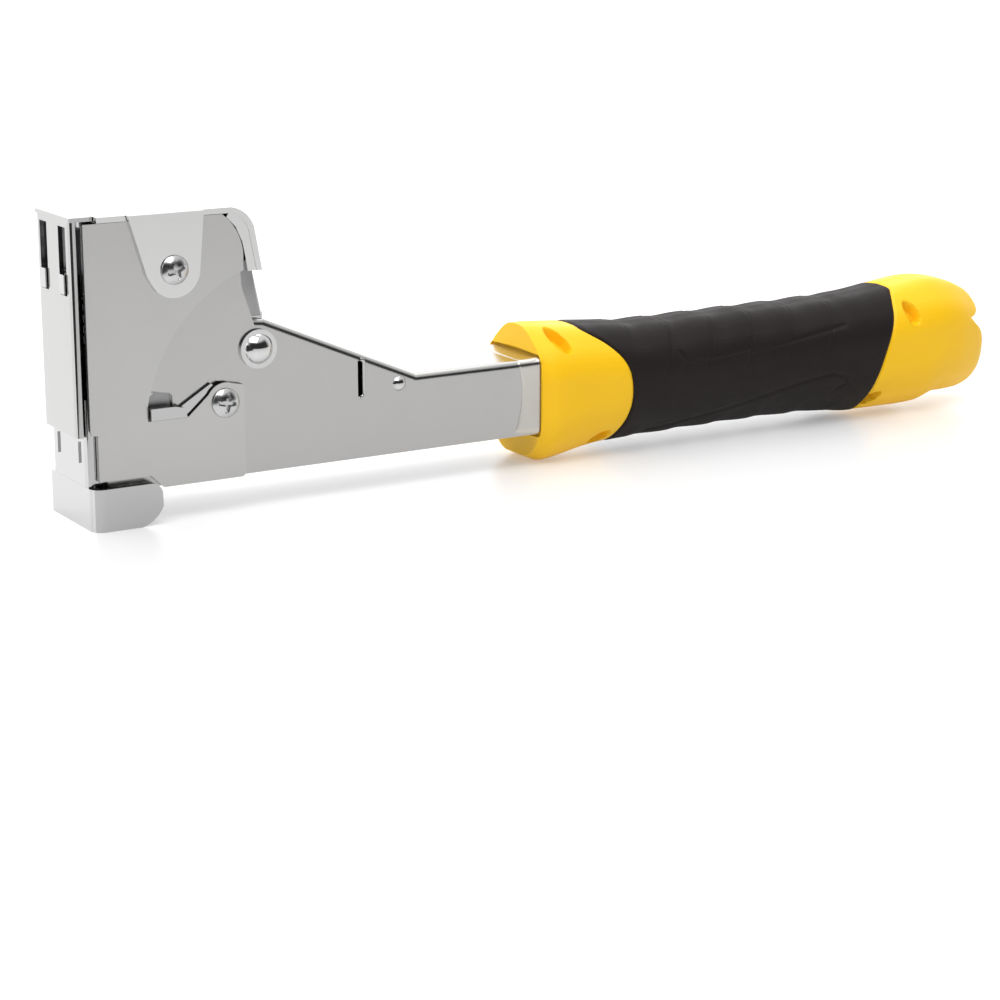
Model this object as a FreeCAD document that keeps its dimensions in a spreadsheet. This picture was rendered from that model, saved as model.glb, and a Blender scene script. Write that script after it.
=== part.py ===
"""Hammer tacker: a swung staple gun with a plated steel head and an overmoulded handle.

Lengths are in millimetres. X runs from the nose back to the handle's end, Y across the tool
and Z up. Sizes in the sheet are measured from the nose datum, the front of the head at its
centre plane and on the ground. Every piece is placed so that the row's origin is on the ground
at the middle of the tool's length.
"""

import FreeCAD, Part
import math
import os

import Sketcher
from FreeCAD import Placement, Rotation, Vector

doc = FreeCAD.newDocument("HammerTacker")

# ---------------------------------------------------------------- driving dimensions

DIMENSIONS = [
    ("origin_setback", 149.1, "nose datum to the row's origin"),
    # channel and inner head walls, one folded sheet
    ("body_half", 12.25, "half the channel's outside width"),
    ("body_sheet", 1.4, "channel sheet"),
    ("body_front", 3.5, "front edge of the inner walls"),
    ("body_bottom", 9.5, "channel's open lower edge"),
    ("channel_top", 30.8, "top of the straight channel"),
    ("channel_end", 172, "end of the channel inside the handle"),
    ("slope_foot", 94.3, "where the slope meets the straight channel"),
    ("slope_head", 48.8, "upper end of the slope"),
    ("slope_height", 50.4, "height of the slope's upper end"),
    ("walls_top", 77.5, "top of the inner head walls"),
    # outer head plates
    ("plate_sheet", 1.5, "outer head plate, with its raised field"),
    ("plate_front", -1.2, "front edge of the outer plates"),
    ("plate_top", 78.9, "top edge of the outer plates"),
    ("plate_back", 42.6, "rear edge of the plates at mid height"),
    ("plate_tail", 41.9, "rear edge of the plates' lower field"),
    ("plate_foot", 9.3, "lower edge of the plates"),
    ("notch_top", 12.8, "top of the step above the shoe"),
    ("arc_x", 57.3, "centre of the pressed arc"),
    ("arc_z", 23.4, "centre of the pressed arc"),
    ("arc_radius", 43.1, "pressed arc"),
    ("window_front", 14.6, "latch window"),
    ("window_back", 22.2, "latch window"),
    ("window_foot", 27.0, "latch window"),
    ("window_top", 35.0, "latch window"),
    ("latch_x", 36.5, "latch screw"),
    ("latch_z", 29.6, "latch screw"),
    ("eye_radius", 5.4, "latch eye"),
    # front channel, cap and rear plate
    ("tray_front", -3.8, "face of the front channel"),
    ("tray_half", 11.3, "half its width"),
    ("tray_sheet", 1.2, "front channel sheet"),
    ("tray_foot", 24.2, "its lower edge"),
    ("tray_top", 79.5, "its top"),
    ("slot_centre", 6.2, "guide slots, from the centre plane"),
    ("slot_half", 2.35, "half a guide slot's width"),
    ("slot_foot", 60.4, "lower end of the guide slots"),
    ("slot_top", 77.8, "upper end of the guide slots"),
    ("cap_sheet", 1.5, "cap sheet"),
    ("cap_front", 2.6, "front edge of the cap"),
    ("cap_half", 14.8, "half the width over the cap's ears"),
    ("cap_screw_x", 22.8, "cap screw"),
    ("cap_screw_z", 65.8, "cap screw"),
    ("ear_radius", 7.2, "round end of the ears"),
    # nose carriage
    ("nose_front", -1.8, "face of the nose"),
    ("shoe_half", 15.7, "half the shoe's width"),
    ("shoe_sheet", 1.6, "shoe sheet"),
    ("shoe_back", 17.3, "rear end of the shoe's sides"),
    ("shoe_top", 11.2, "top of the shoe's sides"),
    ("nose_half", 11.9, "half the width of the nose's upper part"),
    ("nose_sheet", 1.2, "nose front plate"),
    ("nose_stroke", 11, "travel of the nose into the head"),
    ("guide_half", 10.4, "half the width of the raceway block"),
    ("blade_front", 0.1, "front of the driver blade"),
    ("blade_thick", 1.0, "driver blade"),
    ("blade_half", 5.2, "half the blade's width, for 10.6 mm crowns"),
    # magazine
    ("pivot_x", 140, "magazine pivot"),
    ("pivot_z", 14, "magazine pivot"),
    ("pivot_radius", 2.5, "magazine pivot pin"),
    ("pin_clearance", 0.05, "running clearance of pins, on the radius"),
    ("link_x", 14, "pin that joins the nose to the magazine"),
    ("link_z", 18, "pin that joins the nose to the magazine"),
    ("link_radius", 1.5, "that pin"),
    ("magazine_half", 8.8, "half the magazine's width"),
    ("magazine_sheet", 1.2, "magazine sheet"),
    ("magazine_front", 10.2, "front end of the magazine"),
    ("magazine_back", 143.5, "rear end of the magazine"),
    ("magazine_foot", 9.9, "underside of the magazine"),
    ("magazine_top", 24, "top edge of the magazine"),
    ("rail_half", 4.0, "half the staple rail's width"),
    ("rail_sheet", 0.9, "staple rail sheet"),
    ("rail_top", 20.6, "top of the staple rail"),
    ("rail_back", 131, "rear end of the staple rail"),
    ("rod_z", 16, "height of the pusher's guide rod"),
    ("rod_radius", 0.9, "pusher's guide rod"),
    ("pusher_back", 24, "rear end of the staple pusher"),
    # rivets and pins
    ("head_rivet_x", 46.8, "large head rivet"),
    ("head_rivet_z", 42.7, "large head rivet"),
    ("side_rivet_x", 89, "small side rivets"),
    ("side_rivet_z", 28.7, "small side rivets"),
    # handle
    ("collar_front", 133.2, "front face of the handle"),
    ("grip_front", 152, "front end of the rubber grip"),
    ("grip_back", 262, "rear end of the rubber grip"),
    ("handle_end", 302.6, "rear end of the handle"),
    ("grip_depth", 2.6, "thickness of the rubber grip"),
    ("handle_half", 16.6, "half the collar's width"),
    ("handle_top", 39.2, "top of the collar"),
    ("return_spring_x", 5.4, "axis of the return spring"),
    ("block_foot", 60, "underside of the driver block"),
]

sheet = doc.addObject("Spreadsheet::Sheet", "Sizes")
for row, (alias, number, meaning) in enumerate(DIMENSIONS, start=1):
    sheet.set(f"A{row}", alias)
    sheet.set(f"B{row}", str(number))
    sheet.set(f"C{row}", meaning)
    sheet.setAlias(f"B{row}", alias)
doc.recompute()


class Size:
    """A length that remembers the spreadsheet expression it comes from."""

    def __init__(self, value, text=None):
        self.value = float(value)
        self.text = f"({self.value!r})" if text is None else text

    def _joined(self, sign, other, value):
        return Size(value, f"({self.text} {sign} {size(other).text})")

    def __add__(self, other):
        return self._joined("+", other, self.value + size(other).value)

    def __radd__(self, other):
        return size(other) + self

    def __sub__(self, other):
        return self._joined("-", other, self.value - size(other).value)

    def __rsub__(self, other):
        return size(other) - self

    def __mul__(self, other):
        return self._joined("*", other, self.value * size(other).value)

    def __rmul__(self, other):
        return size(other) * self

    def __neg__(self):
        return size(0) - self


def size(value):
    return value if isinstance(value, Size) else Size(value)


S = {alias: Size(number, f"Sizes.{alias}") for alias, number, _ in DIMENSIONS}
ORIGIN = S["origin_setback"]
NODES = {}

# ---------------------------------------------------------------- builders


def bind(thing, path, value):
    thing.setExpression(path, size(value).text)


def place(thing, x, y, z, rotation=None):
    """Puts an object's own origin at x, y, z from the nose datum."""
    thing.Placement = Placement(Vector(), rotation or Rotation())
    for axis, value in zip("xyz", (size(x) - ORIGIN, y, z)):
        bind(thing, f"Placement.Base.{axis}", value)


def box(name, x, y, z):
    """A block between the given (low, high) pairs."""
    block = doc.addObject("Part::Box", name)
    for edge, (low, high) in zip(("Length", "Width", "Height"), (x, y, z)):
        bind(block, edge, size(high) - low)
    place(block, x[0], y[0], z[0])
    return block


TURNS = {
    "x": Rotation(Vector(0, 1, 0), 90),
    "y": Rotation(Vector(1, 0, 0), -90),
    "z": Rotation(),
}


def rod(name, axis, radius, start, length):
    """A cylinder of the given length along an axis, from the point start."""
    cylinder = doc.addObject("Part::Cylinder", name)
    bind(cylinder, "Radius", radius)
    bind(cylinder, "Height", length)
    place(cylinder, *start, TURNS[axis])
    return cylinder


def cross_rod(name, radius, x, z, half):
    """A cylinder across the tool, from -half to +half."""
    return rod(name, "y", radius, (x, -size(half), z), 2 * size(half))


def dome(name, radius, height, x, y, z, side):
    """A domed head standing out of the plane Y = y towards side, +1 or -1."""
    ball_radius = (radius**2 + height**2) / (2 * height)
    ball = doc.addObject("Part::Sphere", f"{name}_ball")
    bind(ball, "Radius", ball_radius)
    place(ball, x, size(y) + side * (height - ball_radius), z)
    reach = (y, size(y) + side * height) if side > 0 else (size(y) + side * height, y)
    across = (size(x) - radius, size(x) + radius)
    upright = (size(z) - radius, size(z) + radius)
    span = box(f"{name}_span", across, reach, upright)
    return common(name, ball, span)


def frustum(name, wide, narrow, height, x, y, z, side):
    """A cone frustum whose wide end is at distance y and that narrows outwards along side."""
    cone = doc.addObject("Part::Cone", name)
    bind(cone, "Radius1", wide)
    bind(cone, "Radius2", narrow)
    bind(cone, "Height", height)
    place(cone, x, side * size(y), z, Rotation(Vector(1, 0, 0), -90 * side))
    return cone


def wire_ring(name, radius, wire, x, y, z):
    """A closed ring of round wire about an axis across the tool."""
    ring = doc.addObject("Part::Torus", name)
    bind(ring, "Radius1", radius)
    bind(ring, "Radius2", wire)
    place(ring, x, y, z, TURNS["y"])
    return ring


def boolean(kind, name, base, tool):
    result = doc.addObject(kind, name)
    result.Base = base
    result.Tool = tool
    return result


def fuse(name, *solids):
    if len(solids) == 1:
        return solids[0]
    result = doc.addObject("Part::MultiFuse", name)
    result.Shapes = list(solids)
    result.Refine = True
    return result


def cut(name, base, *tools):
    return boolean("Part::Cut", name, base, fuse(f"{name}_tools", *tools))


def common(name, base, tool):
    return boolean("Part::Common", name, base, tool)


def group(name, *solids):
    """Several identical or separate solids that share a node."""
    result = doc.addObject("Part::Compound", name)
    result.Links = list(solids)
    return result


def node(name, thing):
    """Names a finished sub-part."""
    thing.Label = name
    NODES[name] = thing
    return thing


def arc_between(start, end, radius):
    """The short arc from start to end; a positive radius turns left, a negative one right."""
    middle = (start + end) * 0.5
    chord = end - start
    left = Vector(-chord.y, chord.x, 0).normalize()
    lift = math.sqrt(radius**2 - (chord.Length / 2) ** 2)
    centre = middle + left * (lift if radius > 0 else -lift)
    angles = [math.atan2(p.y - centre.y, p.x - centre.x) for p in (start, end)]
    if radius < 0:
        angles.reverse()
    circle = Part.Circle(centre, Vector(0, 0, 1), abs(radius))
    return Part.ArcOfCircle(circle, *angles)


def draw(sketch, outline):
    """Draws a closed outline. A corner is (u, v), or (u, v, radius) where an arc leaves it."""
    corners = [tuple(size(value) for value in corner) for corner in outline]
    points = [Vector(corner[0].value, corner[1].value, 0) for corner in corners]
    ends = []
    for index, corner in enumerate(corners):
        start, end = points[index], points[(index + 1) % len(points)]
        if len(corner) == 2:
            sketch.addGeometry(Part.LineSegment(start, end))
            ends.append((1, 2))
        else:
            sketch.addGeometry(arc_between(start, end, corner[2].value))
            ends.append((1, 2) if corner[2].value > 0 else (2, 1))
    for index, corner in enumerate(corners):
        following = (index + 1) % len(corners)
        sketch.addConstraint(
            Sketcher.Constraint("Coincident", index, ends[index][1], following, ends[following][0])
        )
        for kind, value in zip(("DistanceX", "DistanceY"), corner):
            number = sketch.addConstraint(
                Sketcher.Constraint(kind, -1, 1, index, ends[index][0], value.value)
            )
            bind(sketch, f"Constraints[{number}]", value)
        if len(corner) == 3:
            radius = corner[2] if corner[2].value > 0 else -corner[2]
            number = sketch.addConstraint(Sketcher.Constraint("Radius", index, radius.value))
            bind(sketch, f"Constraints[{number}]", radius)


def padded(name, role, outline, start, length):
    """A body padded from an outline on one of its origin planes."""
    body = doc.addObject("PartDesign::Body", name)
    place(body, 0, 0, 0)
    sketch = body.newObject("Sketcher::SketchObject", f"{name}_sketch")
    plane = next(part for part in body.Origin.OriginFeatures if part.Role == role)
    sketch.AttachmentSupport = [(plane, "")]
    sketch.MapMode = "FlatFace"
    bind(sketch, "AttachmentOffset.Base.z", start)
    draw(sketch, outline)
    pad = body.newObject("PartDesign::Pad", f"{name}_pad")
    pad.Profile = sketch
    bind(pad, "Length", length)
    sketch.Visibility = False
    body.Tip = pad
    return body


def bend_edges(body, radius, wanted):
    """Rounds the pad's straight edges whose middle passes the test wanted."""
    doc.recompute()
    pad = body.Tip
    names = []
    for number, edge in enumerate(pad.Shape.Edges, start=1):
        middle = edge.CenterOfMass
        level = abs(edge.Vertexes[0].Point.y - edge.Vertexes[-1].Point.y) < 1e-6
        if level and wanted(middle.x, middle.y, middle.z):
            names.append(f"Edge{number}")
    fillet = body.newObject("PartDesign::Fillet", f"{body.Name}_bends")
    fillet.Base = (pad, names)
    bind(fillet, "Radius", radius)
    body.Tip = fillet


def side_plate(name, outline, y):
    """A plate whose outline is seen from the side, in X and Z, between the given Y."""
    low, high = (size(value) for value in y)
    return padded(name, "XZ_Plane", outline, -high, high - low)


def plan_plate(name, outline, z):
    """A plate whose outline is seen from above, in X and Y, between the given Z."""
    low, high = (size(value) for value in z)
    return padded(name, "XY_Plane", outline, low, high - low)


def front_plate(name, outline, x):
    """A plate whose outline is seen from the front, in Y and Z, between the given X."""
    low, high = (size(value) for value in x)
    return padded(name, "YZ_Plane", outline, low, high - low)


def both_sides(half_low, half_high):
    """The (low, high) pairs of Y on the left and right of the centre plane."""
    return ((-size(half_high), -size(half_low)), (size(half_low), size(half_high)))


def channel_outline(front, back, half, thickness, radius):
    """A U seen from above: rounded front corners and two sides running back."""
    inner = half - thickness
    inner_radius = radius - thickness
    return [
        (back, -half),
        (back, -inner),
        (front + radius, -inner, -inner_radius),
        (front + thickness, -(half - radius)),
        (front + thickness, half - radius, -inner_radius),
        (front + radius, inner),
        (back, inner),
        (back, half),
        (front + radius, half, radius),
        (front, half - radius),
        (front, -(half - radius), radius),
        (front + radius, -half),
    ]


def helix(name, radius, pitch, height, wire, x, y, z, axis):
    """A coil spring of round wire, starting at the given point and running along an axis."""
    spine = doc.addObject("Part::Helix", f"{name}_spine")
    bind(spine, "Radius", radius)
    bind(spine, "Pitch", pitch)
    bind(spine, "Height", height)
    profile = doc.addObject("Part::Circle", f"{name}_wire")
    bind(profile, "Radius", wire)
    profile.Placement = Placement(Vector(size(radius).value, 0, 0), Rotation(Vector(1, 0, 0), 90))
    bind(profile, "Placement.Base.x", radius)
    sweep = doc.addObject("Part::Sweep", name)
    sweep.Sections = [profile]
    sweep.Spine = (spine, ["Edge1"])
    sweep.Solid = True
    sweep.Frenet = True
    place(sweep, x, y, z, TURNS[axis])
    return sweep


# ---------------------------------------------------------------- folded channel

WALL_SPAN = (-S["body_half"], S["body_half"])
INNER_HALF = S["body_half"] - S["body_sheet"]


def body_channel():
    """The folded sheet that is the channel, the slope and the inner walls of the head."""
    top, sheet_depth = S["channel_top"], S["body_sheet"]
    outside = side_plate(
        "channel_outside",
        [
            (S["body_front"], S["body_bottom"]),
            (S["channel_end"], S["body_bottom"]),
            (S["channel_end"], top),
            (S["slope_foot"], top),
            (S["slope_head"], S["slope_height"]),
            (S["plate_back"] + 2.8, S["slope_height"] + 0.4),
            (S["plate_back"], S["slope_height"] + 9),
            (S["plate_back"] - 0.4, S["walls_top"] - 11, 12),
            (S["plate_back"] - 7, S["walls_top"]),
            (S["body_front"], S["walls_top"]),
        ],
        WALL_SPAN,
    )
    roof = (S["slope_head"].value - 3, top.value - 0.5)
    bend_edges(outside, 1.9, lambda x, y, z: x > roof[0] and z > roof[1])
    head_clear = S["slope_head"] - 0.6
    hollow = side_plate(
        "channel_hollow",
        [
            (S["body_front"] - 1, S["body_bottom"] - 1),
            (S["channel_end"] + 1, S["body_bottom"] - 1),
            (S["channel_end"] + 1, top - sheet_depth),
            (S["slope_foot"] - 0.3, top - sheet_depth),
            (head_clear, S["slope_height"] - sheet_depth),
            (head_clear, S["walls_top"] + 1),
            (S["body_front"] - 1, S["walls_top"] + 1),
        ],
        (-INNER_HALF, INNER_HALF),
    )
    reach = S["body_half"] + 1
    louver_x, louver_half = 77.2, 0.9
    cutters = [
        hollow,
        cross_rod("channel_head_rivet_hole", 3.0, S["head_rivet_x"], S["head_rivet_z"], reach),
        cross_rod("channel_side_rivet_hole", 1.2, S["side_rivet_x"], S["side_rivet_z"], reach),
        cross_rod("channel_pivot_hole", S["pivot_radius"], S["pivot_x"], S["pivot_z"], reach),
        cross_rod("channel_latch_hole", 1.6, S["latch_x"], S["latch_z"], reach),
        cross_rod("channel_cap_screw_hole", 2.0, S["cap_screw_x"], S["cap_screw_z"], reach),
        box(
            "channel_louver",
            (louver_x - louver_half, louver_x + louver_half),
            (-reach, reach),
            (26.5, 36.3),
        ),
    ]
    for index, span in enumerate(both_sides(S["body_half"] - 0.9, reach)):
        cutters.append(side_plate(f"channel_latch_window_{index}", window_outline(), span))
    for index, (low, high) in enumerate(both_sides(S["body_half"] - 0.4, reach)):
        seat = (S["latch_x"], low, S["latch_z"])
        cutters.append(rod(f"channel_eye_seat_{index}", "y", S["eye_radius"] - 0.5, seat, high - low))
        cutters.append(side_plate(f"channel_arm_seat_{index}", arm_seat_outline(), (low, high)))
    for index, pin_x in enumerate(TANG_PINS):
        cutters.append(cross_rod(f"channel_tang_hole_{index}", 2.0, pin_x, TANG_PIN_Z, reach))
    return node("body_channel", cut("body_channel", outside, *cutters))


LATCH_INNER = S["body_half"] - 0.1
LATCH_OUTER = S["body_half"] + 0.65
LATCH_PAD = S["body_half"] + 2.95
LATCH_SHANK = 1.6
TANG_PINS = (153, 165)
TANG_PIN_Z = 20


def window_outline():
    """The recess behind the latch window."""
    front, back, top = S["window_front"], S["window_back"], S["window_top"]
    return [
        (front + 0.2, S["window_foot"] + 2.6),
        (back, S["window_foot"] + 2.6),
        (back, top - 2.2),
        (back - 0.8, top - 1.4),
        (front + 2.0, top - 0.4),
        (front + 0.6, top - 1.6),
    ]


def arm_seat_outline():
    """The clearance round the latch's arm, which swings up from its rest."""
    return [
        (S["latch_x"] - 14, S["latch_z"] - 2.4),
        (S["latch_x"] - 10, S["latch_z"] - 2.4),
        (S["latch_x"] + 1.5, S["latch_z"] - 4.5),
        (S["latch_x"] + 1.5, S["latch_z"] + 4.5),
        (S["latch_x"] - 4, S["latch_z"] + 6.9),
        (S["latch_x"] - 14, S["latch_z"] + 3.4),
    ]


def channel_ferrule():
    """The sheet that flares out over the end of the channel, where it enters the handle."""
    front, back = 125.8, 134.0
    stations = ((front, 0.4), (back, 1.3))
    loft_sections = [
        section(f"ferrule_section_{index}", x, ferrule_outline(flare))
        for index, (x, flare) in enumerate(stations)
    ]
    return node("channel_ferrule", loft("channel_ferrule", loft_sections))


def ferrule_outline(flare):
    """A U of sheet round the channel, open below, standing out by flare."""
    inner_half, inner_top = S["body_half"], S["channel_top"]
    return [
        (-(inner_half + flare), S["body_bottom"]),
        (-inner_half, S["body_bottom"]),
        (-inner_half, inner_top),
        (inner_half, inner_top),
        (inner_half, S["body_bottom"]),
        (inner_half + flare, S["body_bottom"]),
        (inner_half + flare, inner_top + flare),
        (-(inner_half + flare), inner_top + flare),
    ]


def section(name, x, outline):
    """A closed outline in Y and Z at the given X, for a loft."""
    sketch = doc.addObject("Sketcher::SketchObject", name)
    place(sketch, x, 0, 0, Rotation(Vector(1, 1, 1), 120))
    draw(sketch, outline)
    return sketch


def loft(name, sections):
    result = doc.addObject("Part::Loft", name)
    result.Sections = sections
    result.Solid = True
    result.Ruled = True
    return result


# ---------------------------------------------------------------- outer head plates


def head_plate(name, side):
    """One outer plate of the head, with its pressed arc, latch window, slot and eye."""
    sheet_depth = S["plate_sheet"]
    inner, outer = S["body_half"], S["body_half"] + sheet_depth
    span = (inner, outer) if side > 0 else (-outer, -inner)
    front, back, top = S["plate_front"], S["plate_back"], S["plate_top"]
    whole = side_plate(
        f"{name}_sheet",
        [
            (front, S["notch_top"] + 13.4),
            (front + 0.6, S["notch_top"] + 12.2),
            (front + 1.95, S["notch_top"] + 12.2),
            (front + 1.95, S["notch_top"]),
            (15, S["notch_top"]),
            (18, S["plate_foot"] + 0.5),
            (18.6, S["plate_foot"]),
            (S["plate_tail"] - 0.8, S["plate_foot"]),
            (S["plate_tail"], S["plate_foot"] + 0.8),
            (S["plate_tail"], S["latch_z"] + 8),
            (back + 0.8, S["slope_height"] + 8.4),
            (back, top - 15.6),
            (back, top - 12.6, 14),
            (back - 5.8, top),
            (front, top),
        ],
        span,
    )
    quadrant = common(
        f"{name}_quadrant",
        cross_rod(f"{name}_arc", S["arc_radius"], S["arc_x"], S["arc_z"], outer + 1),
        side_plate(
            f"{name}_above_latch",
            [
                (S["window_front"], S["window_top"] - 0.2),
                (S["window_back"], S["window_top"] - 1.4),
                (S["window_back"] + 2, S["latch_z"] + 0.6),
                (S["latch_x"] - 4.2, S["latch_z"] + 6.8),
                (S["latch_x"] + 1, S["latch_z"] + 6.2),
                (S["latch_x"] + 20, S["latch_z"] - 2),
                (S["latch_x"] + 20, top),
                (S["window_front"], top),
            ],
            span,
        ),
    )
    eye_clear = cut(
        f"{name}_slot",
        side_plate(
            f"{name}_slot_sheet",
            [
                (S["window_front"], S["window_foot"]),
                (25.8, S["window_foot"]),
                (S["latch_x"] - 2.0, S["latch_z"] + 5.0),
                (S["latch_x"], S["latch_z"] + S["eye_radius"]),
                (S["latch_x"] + 12, S["latch_z"] + 3),
                (S["latch_x"] + 12, S["latch_z"] + 12),
                (S["latch_x"] - 4.2, S["latch_z"] + 6.8),
                (S["window_back"] + 2, S["latch_z"] + 0.6),
                (S["window_back"], S["window_top"] - 1.4),
                (S["window_front"] + 2.0, S["window_top"] - 0.2),
                (S["window_front"] + 0.6, S["window_top"] - 1.4),
                (S["window_front"], S["window_foot"] + 3.6),
            ],
            span,
        ),
        cross_rod(f"{name}_eye", S["eye_radius"], S["latch_x"], S["latch_z"], outer + 1),
    )
    seat = (inner, inner + 0.95) if side > 0 else (-(inner + 0.95), -inner)
    eye_seat = rod(
        f"{name}_eye_seat", "y", S["eye_radius"] - 0.5, (S["latch_x"], seat[0], S["latch_z"]), 0.95
    )
    arm_seat = side_plate(f"{name}_arm_seat", arm_seat_outline(), seat)
    holes = [
        cross_rod(f"{name}_latch_hole", 1.6, S["latch_x"], S["latch_z"], outer + 1),
        cross_rod(f"{name}_cap_screw_hole", 2.0, S["cap_screw_x"], S["cap_screw_z"], outer + 1),
    ]
    return node(name, cut(name, whole, quadrant, eye_clear, eye_seat, arm_seat, *holes))


def front_channel():
    """The shallow channel over the front of the head, with its two guide slots."""
    front, half, depth = S["tray_front"], S["tray_half"], S["tray_sheet"]
    shell = plan_plate(
        "tray_shell",
        channel_outline(front, front + 1.7, half, depth, size(1.6)),
        (S["tray_foot"], S["tray_top"]),
    )
    lid = box("tray_lid", (front, 2.4), (-half, half), (S["tray_top"] - 0.2, S["plate_top"] + S["cap_sheet"]))
    hanger = box("tray_hanger", (1.2, 2.4), (-9, 9), (S["walls_top"] - 0.9, S["tray_top"]))
    slots = [
        box(
            f"tray_slot_{index}",
            (front - 1, front + depth + 1),
            (side * S["slot_centre"] - S["slot_half"], side * S["slot_centre"] + S["slot_half"]),
            (S["slot_foot"], S["slot_top"]),
        )
        for index, side in enumerate((-1, 1))
    ]
    return node("front_channel", cut("front_channel", fuse("tray_sheets", shell, lid, hanger), *slots))


def top_cap():
    """The cap: top sheet, a rear flange that rolls down behind the head, and two screwed ears."""
    depth, half = S["cap_sheet"], S["cap_half"]
    low = S["plate_top"]
    plate_half = S["body_half"] + S["plate_sheet"]
    rise = 1.0
    lips = []
    for index, span in enumerate(both_sides(S["body_half"] - 1.2, plate_half - 0.6)):
        lips.append(
            side_plate(
                f"cap_lip_{index}",
                [
                    (38.4, low - 1.0),
                    (40.9, low - 3.6),
                    (42.7, low - 7.6),
                    (43.4, low - 11),
                    (44.1, low - 15.4),
                    (47.2, low - 15.4),
                    (45.2, low - 4.9),
                    (42.8, low - 1.4),
                    (39.4, low + 0.6),
                ],
                span,
            )
        )
    roll = side_plate(
        "cap_roll",
        [
            (S["cap_front"], low),
            (39.5, low, -7),
            (44.6, low - 4.9),
            (46.6, low - 15.4),
            (46.6 + depth, low - 15.4),
            (44.6 + depth, low - 4.0, 8),
            (39.5, low + depth),
            (S["cap_front"], low + depth),
        ],
        (-(plate_half - 0.3), plate_half - 0.3),
    )
    reach = half - 0.1
    bridge = box("cap_bridge", (11.2, 30.6), (-reach, reach), (low + 0.1, low + depth - 0.1))
    ears = []
    for index, span in enumerate(both_sides(plate_half, half)):
        ears.append(
            side_plate(
                f"cap_ear_{index}",
                [
                    (10.5, low + depth),
                    (15.2, S["cap_screw_z"] - 1, 30),
                    (S["cap_screw_x"] - 5, S["cap_screw_z"] - 5.2, S["ear_radius"]),
                    (S["cap_screw_x"] + 5, S["cap_screw_z"] - 5.2, S["ear_radius"]),
                    (S["cap_screw_x"] + S["ear_radius"], S["cap_screw_z"]),
                    (31.4, low + depth),
                ],
                span,
            )
        )
    holes = cross_rod("cap_screw_hole", 2.0, S["cap_screw_x"], S["cap_screw_z"], half + rise)
    return node("top_cap", cut("top_cap", fuse("cap_sheets", roll, bridge, *ears, *lips), holes))


def rear_plate():
    """The lower sheet that closes the back of the head, under the cap's flange."""
    foot, top = S["slope_height"], S["plate_top"] - 12
    lean, depth = 2.6, S["cap_sheet"]
    x_foot, x_top = 47.5, 44.1
    sheet_body = side_plate(
        "rear_sheet",
        [
            (x_foot, foot),
            (x_foot + depth, foot),
            (x_top + depth, top),
            (x_top, top),
        ],
        (-INNER_HALF, INNER_HALF),
    )
    tongue = side_plate(
        "rear_tongue",
        [
            (x_foot - lean, foot + 1.6),
            (x_foot - lean, foot + 0.5),
            (x_foot + depth, foot),
            (x_foot + depth, foot + 1.6),
        ],
        (-INNER_HALF, INNER_HALF),
    )
    return node("rear_plate", fuse("rear_plate", sheet_body, tongue))


# ---------------------------------------------------------------- screws and rivets


def phillips_screw(name, x, z, seat, tip, side, head_radius, shank_radius):
    """A pan-head cross-recess screw that enters towards the centre plane."""
    head_height, rim = 2.0, 0.7
    head = fuse(
        f"{name}_head",
        rod(f"{name}_rim", "y", head_radius, (x, seat if side > 0 else -(seat + rim), z), rim),
        frustum(f"{name}_crown", head_radius, head_radius - 1.5, head_height - rim, x, seat + rim, z, side),
    )
    root = seat + 0.6
    start = tip if side > 0 else -root
    shank = rod(f"{name}_shank", "y", shank_radius, (x, start, z), root - tip)
    recess_depth, arm, width = 1.3, 2.1, 0.45
    face = side * (seat + head_height)
    reach = (face - recess_depth, face + 1) if side > 0 else (face - 1, face + recess_depth)
    cross = [
        box(f"{name}_cross_a", (x - arm, x + arm), reach, (z - width, z + width)),
        box(f"{name}_cross_b", (x - width, x + width), reach, (z - arm, z + arm)),
    ]
    return cut(name, fuse(f"{name}_blank", head, shank), *cross)


def screws():
    cap_seat, latch_seat = S["cap_half"], S["body_half"] + S["plate_sheet"]
    cap_spot, latch_spot = (S["cap_screw_x"], S["cap_screw_z"]), (S["latch_x"], S["latch_z"])
    cap_pair = [
        phillips_screw(f"cap_screw_{side}", *cap_spot, cap_seat, size(7), side, 3.8, 2.0)
        for side in (-1, 1)
    ]
    node("cap_screws", group("cap_screws", *cap_pair))
    latch_pair = [
        phillips_screw(f"latch_screw_{side}", *latch_spot, latch_seat, size(9.1), side, 3.9, 1.6)
        for side in (-1, 1)
    ]
    node("latch_screws", group("latch_screws", *latch_pair))


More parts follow.
